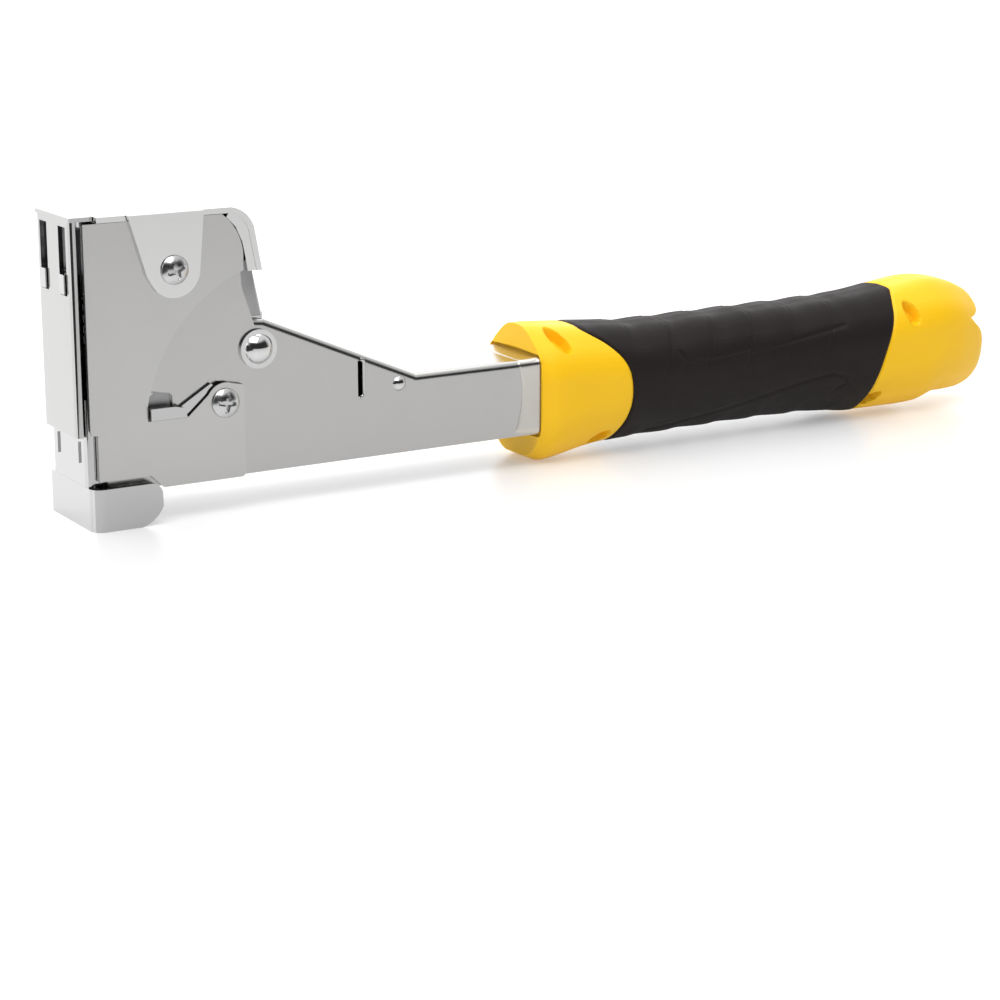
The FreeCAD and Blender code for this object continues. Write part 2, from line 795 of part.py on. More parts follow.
def rivets():
    """The large rivet across the head with its washers, and the two small side rivets."""
    x, z, half = S["head_rivet_x"], S["head_rivet_z"], S["body_half"]
    washer_depth, washer_radius = 0.9, 5.2
    seat = half + washer_depth
    pieces = [cross_rod("head_rivet_shank", 3.0, x, z, seat)]
    washers = []
    for side in (-1, 1):
        pieces.append(dome(f"head_rivet_dome_{side}", size(4.0).value, 2.2, x, side * seat, z, side))
        start = half if side > 0 else -seat
        blank = rod(f"washer_blank_{side}", "y", washer_radius, (x, start, z), washer_depth)
        washers.append(cut(f"washer_{side}", blank, cross_rod(f"washer_hole_{side}", 3.0, x, z, seat + 1)))
    node("head_rivet", fuse("head_rivet", *pieces))
    node("rivet_washers", group("rivet_washers", *washers))
    small = []
    small_x, small_z = S["side_rivet_x"], S["side_rivet_z"]
    for side in (-1, 1):
        head = dome(f"side_rivet_dome_{side}", 2.0, 1.1, small_x, side * half, small_z, side)
        start = INNER_HALF if side > 0 else -half
        shank = rod(f"side_rivet_shank_{side}", "y", 1.2, (small_x, start, small_z), S["body_sheet"])
        small.append(fuse(f"side_rivet_{side}", head, shank))
    node("side_rivets", group("side_rivets", *small))
    pivot = cross_rod("magazine_pivot_pin", S["pivot_radius"], S["pivot_x"], S["pivot_z"], half)
    node("magazine_pivot_pin", pivot)


# ---------------------------------------------------------------- driver and return spring


def driver():
    """The block between the head walls, the blade that hangs from it and its rubber stop."""
    foot, top = S["block_foot"], S["walls_top"] - 0.9
    front = S["blade_front"] + S["blade_thick"]
    block = box("block_blank", (front, 28.5), (-INNER_HALF, INNER_HALF), (foot, top))
    rivet_radius, rivet_heights = 1.5, (68, 73.5)
    holes, pins = [], []
    for index, z in enumerate(rivet_heights):
        start = (S["blade_front"] - 0.5, 0, z)
        holes.append(rod(f"blade_rivet_hole_{index}", "x", rivet_radius, start, 8))
        pins.append(rod(f"blade_rivet_{index}", "x", rivet_radius, (S["blade_front"], 0, z), 7.5))
    post_x, post_radius, post_depth = S["return_spring_x"], 1.8, 5
    post_bore = rod("post_bore", "z", post_radius, (post_x, 0, foot - 1), post_depth + 1)
    screw_bore = cross_rod("block_screw_bore", 2.0, S["cap_screw_x"], S["cap_screw_z"], INNER_HALF + 1)
    node("driver_block", cut("driver_block", block, holes[0], holes[1], screw_bore, post_bore))
    post = rod("spring_post", "z", post_radius, (post_x, 0, foot - 14), 14 + post_depth)
    node("spring_post", post)
    node("blade_rivets", group("blade_rivets", *pins))
    blade = box(
        "blade_blank",
        (S["blade_front"], front),
        (-S["blade_half"], S["blade_half"]),
        (S["nose_stroke"] + 0.4, top),
    )
    blade_holes = [
        rod(f"blade_hole_{index}", "x", rivet_radius, (S["blade_front"] - 1, 0, z), 4)
        for index, z in enumerate(rivet_heights)
    ]
    node("driver_blade", cut("driver_blade", blade, *blade_holes))
    node(
        "return_spring",
        helix("return_spring", 2.6, 3.0, 32.8, 0.5, post_x, 0, foot - 33.4, "z"),
    )


# ---------------------------------------------------------------- nose carriage


def nose():
    """The sliding nose: shoe and front plate in one sheet, with the raceway block inside it."""
    front, half, depth = S["nose_front"], S["shoe_half"], S["shoe_sheet"]
    shoe = plan_plate(
        "shoe_sheet",
        channel_outline(front, S["shoe_back"], half, depth, size(3.2)),
        (0, S["shoe_top"]),
    )
    back, top = S["shoe_back"], S["shoe_top"]
    across = (-(half + 1), half + 1)
    heel = side_plate(
        "shoe_heel",
        [
            (10.5, -1),
            (back + 1, -1),
            (back + 1, 5.2),
            (back + 0.1, 5.2, -9),
            (11.0, -0.1),
        ],
        across,
    )
    crown = side_plate(
        "shoe_crown",
        [
            (back + 1, top - 2.9),
            (back + 1, top + 1),
            (14.4, top + 1),
            (14.4, top + 0.05, -3.4),
            (back + 0.05, top - 2.9),
        ],
        across,
    )
    plate_top = S["slot_foot"] + 5.4
    step = 0.06
    upper = plan_plate(
        "nose_upper",
        channel_outline(front + step, front + 4.2, S["nose_half"], S["nose_sheet"], size(1.9)),
        (S["shoe_top"] - 0.6, 34),
    )
    tongue = box("nose_tongue", (front + step, front + S["nose_sheet"]), (-9.4, 9.4), (33.5, plate_top))
    lugs = [
        box(
            f"nose_lug_{index}",
            (S["tray_front"] - 0.6, front + 0.6),
            (side * S["slot_centre"] - 1.7, side * S["slot_centre"] + 1.7),
            (plate_top - 5, plate_top),
        )
        for index, side in enumerate((-1, 1))
    ]
    floor = box("shoe_floor", (front + 0.2, 16), (-S["guide_half"], S["guide_half"]), (0, 1.3))
    slot = box(
        "staple_exit", (front + depth, 1.6), (-(S["blade_half"] + 0.4), S["blade_half"] + 0.4), (-1, 3)
    )
    rib_half = 0.35
    ribs = [
        box(
            f"nose_rib_{index}",
            (front - rib_half, front + 0.4),
            (side * 7 - rib_half, side * 7 + rib_half),
            (17.0, 22.5),
        )
        for index, side in enumerate((-1, 1))
    ]
    sheets = fuse("nose_sheets", shoe, upper, tongue, floor, *lugs, *ribs)
    node("nose_shoe", cut("nose_shoe", sheets, slot, heel, crown))

    guide_front, guide_back = 1.6, 9.0
    block = box("guide_block", (guide_front, guide_back), (-S["guide_half"], S["guide_half"]), (1.3, 26))
    feed = box("guide_feed", (guide_front - 1, guide_back + 1), (-5.8, 5.8), (8.6, 25))
    cheeks = [
        box(f"guide_cheek_{index}", (guide_back, 17), span, (12, 23))
        for index, span in enumerate(both_sides(S["magazine_half"] + 0.4, S["guide_half"]))
    ]
    link_hole = cross_rod("guide_link_hole", S["link_radius"], S["link_x"], S["link_z"], S["guide_half"] + 1)
    node("nose_guide", cut("nose_guide", fuse("guide_blank", block, *cheeks), feed, link_hole))
    stubs = [
        rod(
            f"link_stub_{index}",
            "y",
            S["link_radius"],
            (S["link_x"], low, S["link_z"]),
            high - low,
        )
        for index, (low, high) in enumerate(both_sides(S["magazine_half"] - 1.5, S["guide_half"]))
    ]
    node("link_pins", group("link_pins", *stubs))


# ---------------------------------------------------------------- magazine


def magazine():
    """The magazine channel, its staple rail, the rod behind the pusher and their fixings."""
    front, back, half = S["magazine_front"], S["magazine_back"], S["magazine_half"]
    foot, top, depth = S["magazine_foot"], S["magazine_top"], S["magazine_sheet"]
    outside = side_plate(
        "magazine_outside",
        [
            (front, foot),
            (back - 3, foot),
            (back, foot + 3),
            (back, top - 5),
            (back - 5, top),
            (front, top),
        ],
        (-half, half),
    )
    inner = half - depth
    hollow = box("magazine_hollow", (front - 1, back + 1), (-inner, inner), (foot + depth, top + 1))
    link_slot = box(
        "magazine_link_slot",
        (S["link_x"] - 2.6, S["link_x"] + 2.6),
        (-(half + 1), half + 1),
        (S["link_z"] - S["link_radius"] - 0.15, S["link_z"] + S["link_radius"] + 0.15),
    )
    bore = cross_rod(
        "magazine_pivot_bore", S["pivot_radius"] + S["pin_clearance"], S["pivot_x"], S["pivot_z"], half + 1
    )
    rivet_places = (34, 78, 122)
    rivet_radius = 1.4
    floor_holes = [
        rod(f"magazine_rivet_hole_{index}", "z", rivet_radius, (x, 0, foot - 1), 6)
        for index, x in enumerate(rivet_places)
    ]
    node("magazine_channel", cut("magazine_channel", outside, hollow, link_slot, bore, *floor_holes))

    rail_foot = foot + depth
    rail_half, rail_depth = S["rail_half"], S["rail_sheet"]
    rail_blank = box(
        "rail_blank",
        (front + 0.6, S["rail_back"]),
        (-rail_half, rail_half),
        (rail_foot, S["rail_top"]),
    )
    rail_hollow = box(
        "rail_hollow",
        (front - 1, S["rail_back"] - 2),
        (-(rail_half - rail_depth), rail_half - rail_depth),
        (rail_foot + rail_depth, S["rail_top"] - rail_depth),
    )
    rail_slot = box(
        "rail_slot",
        (front + 2, S["rail_back"] - 3),
        (-0.9, 0.9),
        (rail_foot + 6, S["rail_top"] + 1),
    )
    rail_holes = [
        rod(f"rail_rivet_hole_{index}", "z", rivet_radius, (x, 0, rail_foot - 1), 4)
        for index, x in enumerate(rivet_places)
    ]
    rod_hole = rod("rail_rod_hole", "x", S["rod_radius"], (S["rail_back"] - 3, 0, S["rod_z"]), 5)
    node("staple_rail", cut("staple_rail", rail_blank, rail_hollow, rail_slot, rod_hole, *rail_holes))
    rail_rivets = [
        rod(f"rail_rivet_{index}", "z", rivet_radius, (x, 0, foot), depth + rail_depth)
        for index, x in enumerate(rivet_places)
    ]
    node("rail_rivets", group("rail_rivets", *rail_rivets))
    guide_rod = rod("guide_rod", "x", S["rod_radius"], (13.5, 0, S["rod_z"]), S["rail_back"] - 13.5)
    node("guide_rod", guide_rod)


def pusher():
    """The sprung follower that pushes the staple strip along the rail."""
    front, back = 11.8, S["pusher_back"]
    saddle_half, clearance = 7.0, 0.3
    saddle = box("pusher_saddle", (front, back), (-saddle_half, saddle_half), (12.6, 23.2))
    straddle = box(
        "pusher_straddle",
        (front - 1, back + 1),
        (-(S["rail_half"] + clearance), S["rail_half"] + clearance),
        (11, S["rail_top"] + 0.4),
    )
    tongue = box("pusher_tongue", (15.5, back), (-0.6, 0.6), (S["rod_z"], S["rail_top"] + 0.6))
    bob = rod("pusher_bob", "x", 2.3, (15.5, 0, S["rod_z"]), S["pusher_back"] - 15.5)
    bore = rod("pusher_bore", "x", S["rod_radius"] + S["pin_clearance"], (10, 0, S["rod_z"]), 20)
    follower = fuse("pusher_blank", cut("pusher_shell", saddle, straddle), tongue, bob)
    node("staple_pusher", cut("staple_pusher", follower, bore))
    coil_back = S["rail_back"] - 2.6
    node(
        "pusher_spring",
        helix(
            "pusher_spring", 1.9, 4.8, coil_back - back - 0.8, 0.3, back + 0.4, 0, S["rod_z"], "x"
        ),
    )


# ---------------------------------------------------------------- latch


def latch():
    """The two side catches, each an eye, an arm and a finger pad that turn on a screw."""
    x, z = S["latch_x"], S["latch_z"]
    for name, side in (("latch_left", -1), ("latch_right", 1)):
        spans = {}
        for part, low, high in (("arm", LATCH_INNER, LATCH_OUTER), ("pad", S["body_half"] + 0.3, LATCH_PAD)):
            spans[part] = (low, high) if side > 0 else (-high, -low)
        eye = rod(f"{name}_eye", "y", 3.9, (x, spans["arm"][0], z), LATCH_OUTER - LATCH_INNER)
        arm = side_plate(
            f"{name}_arm",
            [
                (x - 13, z - 1.9),
                (x - 10.6, z - 1.9),
                (x - 1.5, z + 3.2),
                (x - 3.6, z + 5.4),
                (x - 12, z + 0.4),
            ],
            spans["arm"],
        )
        pad = side_plate(
            f"{name}_pad",
            [
                (x - 21.5, z - 2.2),
                (x - 11.4, z - 2.2),
                (x - 12.4, z + 0.4),
                (x - 15, z + 0.9),
                (x - 21.5, z + 0.9),
            ],
            spans["pad"],
        )
        bore = cross_rod(f"{name}_bore", LATCH_SHANK + S["pin_clearance"], x, z, LATCH_OUTER + 1)
        node(name, cut(name, fuse(f"{name}_blank", eye, arm, pad), bore))
    rings = []
    for name, side in (("left", -1), ("right", 1)):
        rings.append(wire_ring(f"latch_spring_{name}", 2.4, 0.4, x, side * (INNER_HALF - 0.45), z))
    node("latch_springs", group("latch_springs", *rings))


# ---------------------------------------------------------------- handle


def grip_outline(half, roof_half, top, shoulder, waist, foot_half, bottom):
    """An eight-sided section with a narrow roof and a narrow foot."""
    right = [(foot_half, bottom), (half, waist), (half, shoulder), (roof_half, top)]
    left = [(-size(u), v) for u, v in reversed(right)]
    return right + left


def shrunk(values, depth):
    """The same section, smaller by depth all round."""
    half, roof_half, top, shoulder, waist, foot_half, bottom = values
    return (
        half - depth,
        roof_half - depth * 0.4,
        top - depth,
        shoulder - depth * 0.4,
        waist + depth * 0.4,
        foot_half - depth * 0.4,
        bottom + depth,
    )


def handle():
    """Two yellow shells over the core, split at the centre plane, and the rubber grip."""
    half, top = S["handle_half"], S["handle_top"]
    face = (half - 1.8, size(3), top - 0.1, 30.0, 7.5, size(9), size(3.0))
    collar = (half, size(6), top, 31.0, 7.5, size(9), size(0.0))
    neck = (half - 0.2, size(8), top - 1.4, 30.2, 8.4, size(9), size(2.6))
    palm = (half - 1.0, size(8), top - 2.7, 29.0, 9.4, size(8), size(3.4))
    heel = (half - 0.4, size(8), top - 1.0, 30.6, 8.4, size(9), size(1.8))
    crest = (half, size(6), top + 1.2, 31.6, 8.2, size(9), size(3.0))
    tail = (half - 2.4, size(5), top - 2.6, 29.6, 9.0, size(7), size(4.6))
    tip = (half - 6.6, size(3), size(31.0), 26.0, 11.0, size(5), size(8.4))
    middle_x = 205
    stations = [
        (S["collar_front"], face),
        (138.6, collar),
        (S["grip_front"], neck),
        (middle_x, palm),
        (S["grip_back"], heel),
        (277.5, crest),
        (295.5, tail),
        (S["handle_end"], tip),
    ]

    def lofted(name, chosen, depth=0):
        sections = [
            section(f"{name}_{index}", x, grip_outline(*shrunk(values, depth)))
            for index, (x, values) in enumerate(chosen)
        ]
        return loft(name, sections)

    collar_part = lofted("collar_loft", stations[:3])
    core_part = lofted("waist_loft", stations[2:5], S["grip_depth"])
    tail_part = lofted("tail_loft", stations[4:])
    hanging_notch = cross_rod("hanging_notch", 3.2, S["handle_end"] + 0.2, 27.8, 20)
    blank = fuse("handle_blank", collar_part, core_part, tail_part)
    clearance = 0.1
    channel_half, channel_top = S["body_half"] + 1.5, S["channel_top"] + 1.5
    mouth = box("handle_mouth", (130, 134.2), (-channel_half, channel_half), (-5, channel_top))
    socket = box(
        "handle_socket",
        (130, S["channel_end"] + clearance),
        (-S["body_half"], S["body_half"]),
        (S["body_bottom"], S["channel_top"]),
    )
    tang_socket = box("tang_socket", (170, 282), (-11, 11), (11, 29))
    pits = []
    pit_radius, pit_reach = 2.3, half - 4.2
    for index, (x, z) in enumerate(((141.5, 33.8), (146.5, 6.6), (267.5, 33.0), (266.5, 6.8))):
        for side in (-1, 1):
            start = pit_reach if side > 0 else -(pit_reach + 6)
            pits.append(rod(f"pit_{index}_{side}", "y", pit_radius, (x, start, z), 6))
    hollowed = cut("handle_hollowed", blank, socket, mouth, tang_socket, hanging_notch, *pits)
    for name, span in (("handle_shell_left", (-20, 0)), ("handle_shell_right", (0, 20))):
        side_box = box(f"{name}_half", (125, 310), span, (-2, 50))
        node(name, common(name, hollowed, side_box))
    sleeve = cut(
        "grip_sleeve",
        lofted("grip_loft", stations[2:5]),
        lofted("grip_inside", stations[2:5], S["grip_depth"]),
    )
    node("grip_sleeve", sleeve)

    inside = (-INNER_HALF, INNER_HALF)
    roof = S["channel_top"] - S["body_sheet"]
    root = box("core_root", (146, S["channel_end"]), inside, (S["body_bottom"], roof))
    tang = box("core_tang", (S["channel_end"], 282), (-11, 11), (11, 29))
    pin_holes = [
        cross_rod(f"core_pin_hole_{index}", 2.0, x, TANG_PIN_Z, 20) for index, x in enumerate(TANG_PINS)
    ]
    node("handle_core", cut("handle_core", fuse("core_blank", root, tang), *pin_holes))
    tang_pins = [
        cross_rod(f"tang_pin_{index}", 2.0, x, TANG_PIN_Z, S["body_half"])
        for index, x in enumerate(TANG_PINS)
    ]
    node("tang_pins", group("tang_pins", *tang_pins))


# ---------------------------------------------------------------- assembly

body_channel()
channel_ferrule()
head_plate("head_plate_left", -1)
head_plate("head_plate_right", 1)
front_channel()
top_cap()
rear_plate()
screws()
rivets()
driver()
nose()
magazine()
pusher()
latch()
handle()
doc.recompute()

problems = [
    f"{thing.Name}: {state}"
    for thing in doc.Objects
    for state in thing.State
    if state in ("Invalid", "Error")
]
for name, thing in NODES.items():
    if thing.Shape.isNull() or not thing.Shape.isValid() or not thing.Shape.Solids:
        problems.append(f"{name}: its shape is null, not valid or has no solid")
if problems:
    raise SystemExit("\n".join(problems))

os.makedirs("parts", exist_ok=True)
for name, thing in NODES.items():
    thing.Shape.exportStep(f"parts/{name}.step")
    volume = sum(solid.Volume for solid in thing.Shape.Solids)
    print(f"{name}: {len(thing.Shape.Solids)} solid(s), {volume:.0f} mm3")
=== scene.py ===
"""A hammer tacker on a pale studio floor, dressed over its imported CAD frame.

Helpers take millimetres measured from the nose datum, as the CAD does, and write metres in
the row frame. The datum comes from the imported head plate. X runs from the nose to the
handle's tail, Y to the side and Z up. Angles are in radians unless named otherwise.
"""

import math

import bmesh
import bpy
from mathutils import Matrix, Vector


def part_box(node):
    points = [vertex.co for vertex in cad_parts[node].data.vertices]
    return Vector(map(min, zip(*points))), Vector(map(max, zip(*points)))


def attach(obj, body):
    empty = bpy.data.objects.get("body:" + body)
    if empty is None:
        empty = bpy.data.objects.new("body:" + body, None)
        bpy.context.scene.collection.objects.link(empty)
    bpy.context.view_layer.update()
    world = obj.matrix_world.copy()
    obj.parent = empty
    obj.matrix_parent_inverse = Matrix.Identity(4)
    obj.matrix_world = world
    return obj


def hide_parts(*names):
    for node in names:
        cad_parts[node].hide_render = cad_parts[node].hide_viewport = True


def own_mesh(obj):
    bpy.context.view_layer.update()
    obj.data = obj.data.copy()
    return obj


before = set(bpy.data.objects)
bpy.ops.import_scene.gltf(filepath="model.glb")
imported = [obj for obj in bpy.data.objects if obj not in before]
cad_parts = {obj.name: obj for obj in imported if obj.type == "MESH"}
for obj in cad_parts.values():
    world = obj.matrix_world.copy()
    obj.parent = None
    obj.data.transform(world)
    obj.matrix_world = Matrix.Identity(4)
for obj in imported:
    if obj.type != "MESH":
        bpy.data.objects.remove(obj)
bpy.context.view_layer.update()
MM = 0.001
PLATE_LEAD = 1.2  # the head plates start this far ahead of the nose datum
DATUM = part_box("head_plate_left")[0][0] + PLATE_LEAD * MM

scene = bpy.context.scene


def at(x, y, z):
    """A point in metres, from millimetres measured from the nose datum."""
    return Vector((DATUM + x * MM, y * MM, z * MM))


# ---------------------------------------------------------------- node helpers


def material(name):
    """A new material holding one Principled shader, with its tree and shader."""
    made = bpy.data.materials.new(name)
    made.use_nodes = True
    tree = made.node_tree
    tree.nodes.clear()
    output = tree.nodes.new("ShaderNodeOutputMaterial")
    shader = tree.nodes.new("ShaderNodeBsdfPrincipled")
    tree.links.new(shader.outputs[0], output.inputs[0])
    return made, tree, shader


def noise_node(tree, scale, detail=4, stretch=(1, 1, 1), roughness=0.5, seed=0.0):
    """Noise fixed to the piece; seed slides it so that two layers do not line up."""
    place = tree.nodes.new("ShaderNodeTexCoord")
    mapping = tree.nodes.new("ShaderNodeMapping")
    mapping.inputs["Scale"].default_value = stretch
    mapping.inputs["Location"].default_value = (seed, seed * 0.37, seed * 0.71)
    grain = tree.nodes.new("ShaderNodeTexNoise")
    grain.inputs["Scale"].default_value = scale
    grain.inputs["Detail"].default_value = detail
    grain.inputs["Roughness"].default_value = roughness
    tree.links.new(place.outputs["Object"], mapping.inputs["Vector"])
    tree.links.new(mapping.outputs[0], grain.inputs["Vector"])
    return grain.outputs["Fac"]


def ramp(tree, value, stops):
    """A colour ramp over value, with stops of (position, colour)."""
    node = tree.nodes.new("ShaderNodeValToRGB")
    elements = node.color_ramp.elements
    while len(elements) < len(stops):
        elements.new(0.5)
    for element, (position, colour) in zip(elements, stops):
        element.position = position
        element.color = (*colour, 1) if len(colour) == 3 else colour
    tree.links.new(value, node.inputs[0])
    return node.outputs[0]


def spread(tree, value, low, high):
    """Stretches the middle of a noise value over low to high."""
    node = tree.nodes.new("ShaderNodeMapRange")
    node.inputs["From Min"].default_value = 0.3
    node.inputs["From Max"].default_value = 0.7
    node.inputs["To Min"].default_value = low
    node.inputs["To Max"].default_value = high
    tree.links.new(value, node.inputs[0])
    return node.outputs[0]


def bumps(tree, shader, heights):
    """Chains bump nodes: (height socket, strength, distance in mm)."""
    last = None
    for height, strength, distance in heights:
        node = tree.nodes.new("ShaderNodeBump")
        node.inputs["Strength"].default_value = strength
        node.inputs["Distance"].default_value = distance * MM
        tree.links.new(height, node.inputs["Height"])
        if last is not None:
            tree.links.new(last, node.inputs["Normal"])
        last = node.outputs[0]
    tree.links.new(last, shader.inputs["Normal"])


EVEN = (1, 1, 1)
DRAWN = (0.2, 3, 3)  # noise drawn out along the tool


def metal(name, colour, rough, grain=0.04, stretch=EVEN, wave=0.05, vary=0.06):
    """Plated or drawn steel: slow colour drift, fine grain in the gloss, faint unevenness."""
    made, tree, shader = material(name)
    shader.inputs["Metallic"].default_value = 1.0
    drift = noise_node(tree, 22, 3)
    low = tuple(c * (1 - vary) for c in colour)
    high = tuple(min(1, c * (1 + vary)) for c in colour)
    tree.links.new(ramp(tree, drift, [(0.3, low), (0.7, high)]), shader.inputs["Base Color"])
    fine = noise_node(tree, 900, 5, stretch, seed=3.1)
    smear = noise_node(tree, 60, 4, seed=7.7)
    mixed = tree.nodes.new("ShaderNodeMath")
    mixed.operation = "ADD"
    tree.links.new(spread(tree, fine, -grain, grain), mixed.inputs[0])
    tree.links.new(spread(tree, smear, rough - grain, rough + grain), mixed.inputs[1])
    tree.links.new(mixed.outputs[0], shader.inputs["Roughness"])
    slow = noise_node(tree, 28, 2, seed=1.3)
    bumps(tree, shader, [(slow, wave, 0.4), (fine, 0.012, 0.01)])
    return made


def moulded(name, colour, shade, rough, grain_scale, grain_depth, gloss=0.45):
    """Moulded plastic or rubber: a fine spark-eroded grain, slow tone drift and scuffs."""
    made, tree, shader = material(name)
    drift = noise_node(tree, 26, 4)
    tree.links.new(ramp(tree, drift, [(0.32, shade), (0.62, colour)]), shader.inputs["Base Color"])
    scuff = noise_node(tree, 110, 6, EVEN, 0.62, 4.4)
    tree.links.new(spread(tree, scuff, rough - 0.06, rough + 0.08), shader.inputs["Roughness"])
    shader.inputs["Specular IOR Level"].default_value = gloss
    shader.inputs["IOR"].default_value = 1.47
    grain = noise_node(tree, grain_scale, 3, seed=2.2)
    bumps(tree, shader, [(grain, 0.35, grain_depth), (scuff, 0.12, 0.05)])
    return made


SIDE = metal("plated side", (0.485, 0.48, 0.47), 0.20, 0.012, EVEN, 0.05, 0.02)
WALL = metal("plated wall", (0.47, 0.465, 0.455), 0.22, 0.012, EVEN, 0.05, 0.02)
NOSE = metal("polished plating", (0.49, 0.49, 0.486), 0.07, 0.01, EVEN, 0.45, 0.02)
FRONT = metal("plated front", (0.455, 0.453, 0.447), 0.09, 0.01, EVEN, 0.10, 0.02)
# Painted shade: a dark grey that stands in for the shade in the latch window's recess and along the
# rear seams.
PAINTED_SHADE = metal("painted shade in the latch window", (0.30, 0.30, 0.30), 0.38, 0.03, EVEN, 0.3, 0.5)
COLLAR_BAND = metal("ferrule", (0.56, 0.54, 0.50), 0.24, 0.02, EVEN, 0.1, 0.03)
CAPPING = metal("bright cap", (0.63, 0.628, 0.62), 0.12, 0.012, EVEN, 0.06, 0.02)
SCREW = metal("zinc screw", (0.52, 0.52, 0.52), 0.22, 0.05, EVEN, 0.05)
RIVET = metal("turned rivet", (0.57, 0.57, 0.565), 0.14, 0.04, EVEN, 0.03)
PLAIN = metal("plain steel", (0.36, 0.36, 0.365), 0.36, 0.06, DRAWN, 0.05)
DARK = metal("hardened steel", (0.22, 0.22, 0.23), 0.34, 0.06, DRAWN, 0.05)
SPRING = metal("spring wire", (0.30, 0.30, 0.31), 0.24, 0.04)
YELLOW = moulded(
    "yellow nylon", (0.99, 0.585, 0.010), (0.98, 0.57, 0.008), 0.42, 1500, 0.02, gloss=0.3
)
RUBBER = moulded(
    "black rubber", (0.0135, 0.0098, 0.0090), (0.0105, 0.0076, 0.0070), 0.58, 1300, 0.03, gloss=0.22
)
CORE = moulded("core nylon", (0.05, 0.05, 0.05), (0.04, 0.04, 0.04), 0.5, 1300, 0.03)

# ---------------------------------------------------------------- mesh helpers


def smooth(obj, angle):
    """Shades smooth, with edges sharper than angle degrees kept hard."""
    mesh = obj.data
    mesh.shade_smooth()
    mesh.set_sharp_from_angle(angle=math.radians(angle))


def piece(name, mesh, body, paint, replaced=()):
    """A named piece that rides body, in place of the replaced nodes."""
    obj = bpy.data.objects.new(name, mesh)
    scene.collection.objects.link(obj)
    mesh.materials.append(paint)
    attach(obj, body)
    if replaced:
        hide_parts(*replaced)
    return obj


def clean(mesh, weld=None):
    """Turns the faces outward, after joining points closer than weld metres."""
    shape = bmesh.new()
    shape.from_mesh(mesh)
    if weld is not None:
        bmesh.ops.remove_doubles(shape, verts=shape.verts, dist=weld)
    bmesh.ops.recalc_face_normals(shape, faces=shape.faces)
    shape.to_mesh(mesh)
    shape.free()


def grid_mesh(name, rows, caps=(False, False)):
    """A skin over rows of points. Rows are closed loops; caps fills the first and last."""
    verts = [point for row in rows for point in row]
    count = len(rows[0])
    faces = []
    for r in range(len(rows) - 1):
        here, there = r * count, (r + 1) * count
        for c in range(count):
            d = (c + 1) % count
            faces.append((here + c, here + d, there + d, there + c))
    if caps[0]:
        faces.append(tuple(reversed(range(count))))
    if caps[1]:
        faces.append(tuple(range((len(rows) - 1) * count, len(rows) * count)))
    mesh = bpy.data.meshes.new(name)
    mesh.from_pydata([tuple(v) for v in verts], [], faces)
    clean(mesh)
    return mesh


def lerp(a, b, t):
    return a + (b - a) * t


def ease(t):
    """A smooth step from 0 at t = 0 to 1 at t = 1."""
    t = max(0.0, min(1.0, t))
    return t * t * (3 - 2 * t)


def along(table, x):
    """Reads a smooth curve through (x, value) pairs."""
    if x <= table[0][0]:
        return table[0][1]
    if x >= table[-1][0]:
        return table[-1][1]
    for index in range(len(table) - 1):
        x0, y0 = table[index]
        x1, y1 = table[index + 1]
        if x0 <= x <= x1:
            before = table[index - 1] if index else (2 * x0 - x1, y0)
            after = table[index + 2] if index + 2 < len(table) else (2 * x1 - x0, y1)
            m0 = (y1 - before[1]) / (x1 - before[0]) * (x1 - x0)
            m1 = (after[1] - y0) / (after[0] - x0) * (x1 - x0)
            t = (x - x0) / (x1 - x0)
            return (
                (2 * t**3 - 3 * t**2 + 1) * y0
                + (t**3 - 2 * t**2 + t) * m0
                + (-2 * t**3 + 3 * t**2) * y1
                + (t**3 - t**2) * m1
            )


# ---------------------------------------------------------------- handle
# Stations along the handle as (x, value): top and bottom height, half width at the widest,
# and half width of the flat along the top.

TOP = [(133.2, 39.2), (138, 39.0), (145, 38.4), (153, 37.7), (164, 36.8), (174, 36.4), (185, 36.4),
       (206, 36.6), (228, 36.8), (251, 37.4), (263, 38.8), (269, 39.7), (275, 40.4), (280, 40.4),
       (285, 39.6), (291, 37.6), (297, 34.6), (303, 31.0)]
BOTTOM = [(133.2, 1.6), (136.4, 0.15), (139, 0.15), (144, 1.0), (150, 2.1), (157, 3.0), (170, 3.4),
          (200, 3.7), (222, 3.6), (238, 3.0), (243, 2.2), (250, 1.9), (262, 1.8), (268, 1.8),
          (274, 2.2), (278.5, 3.6), (281, 4.2), (285, 4.2), (293, 4.4), (299, 5.2), (303, 6.5)]
WIDTH = [(133.2, 14.9), (138.5, 16.4), (152, 16.2), (175, 15.6), (205, 15.3), (240, 15.7),
         (262, 16.2), (277, 16.3), (286, 15.2), (293, 13.0), (299, 10.6), (303, 9.0)]
ROOF = [(133.2, 5.0), (139, 6.6), (152, 8.0), (205, 8.2), (262, 8.0), (277, 7.0), (303, 5.6)]
AROUND = 288  # points round every ring of the handle
CORNER_STEPS = 8
CORNER_SHARE = 0.46  # a rounded corner takes up no more than this share of a side


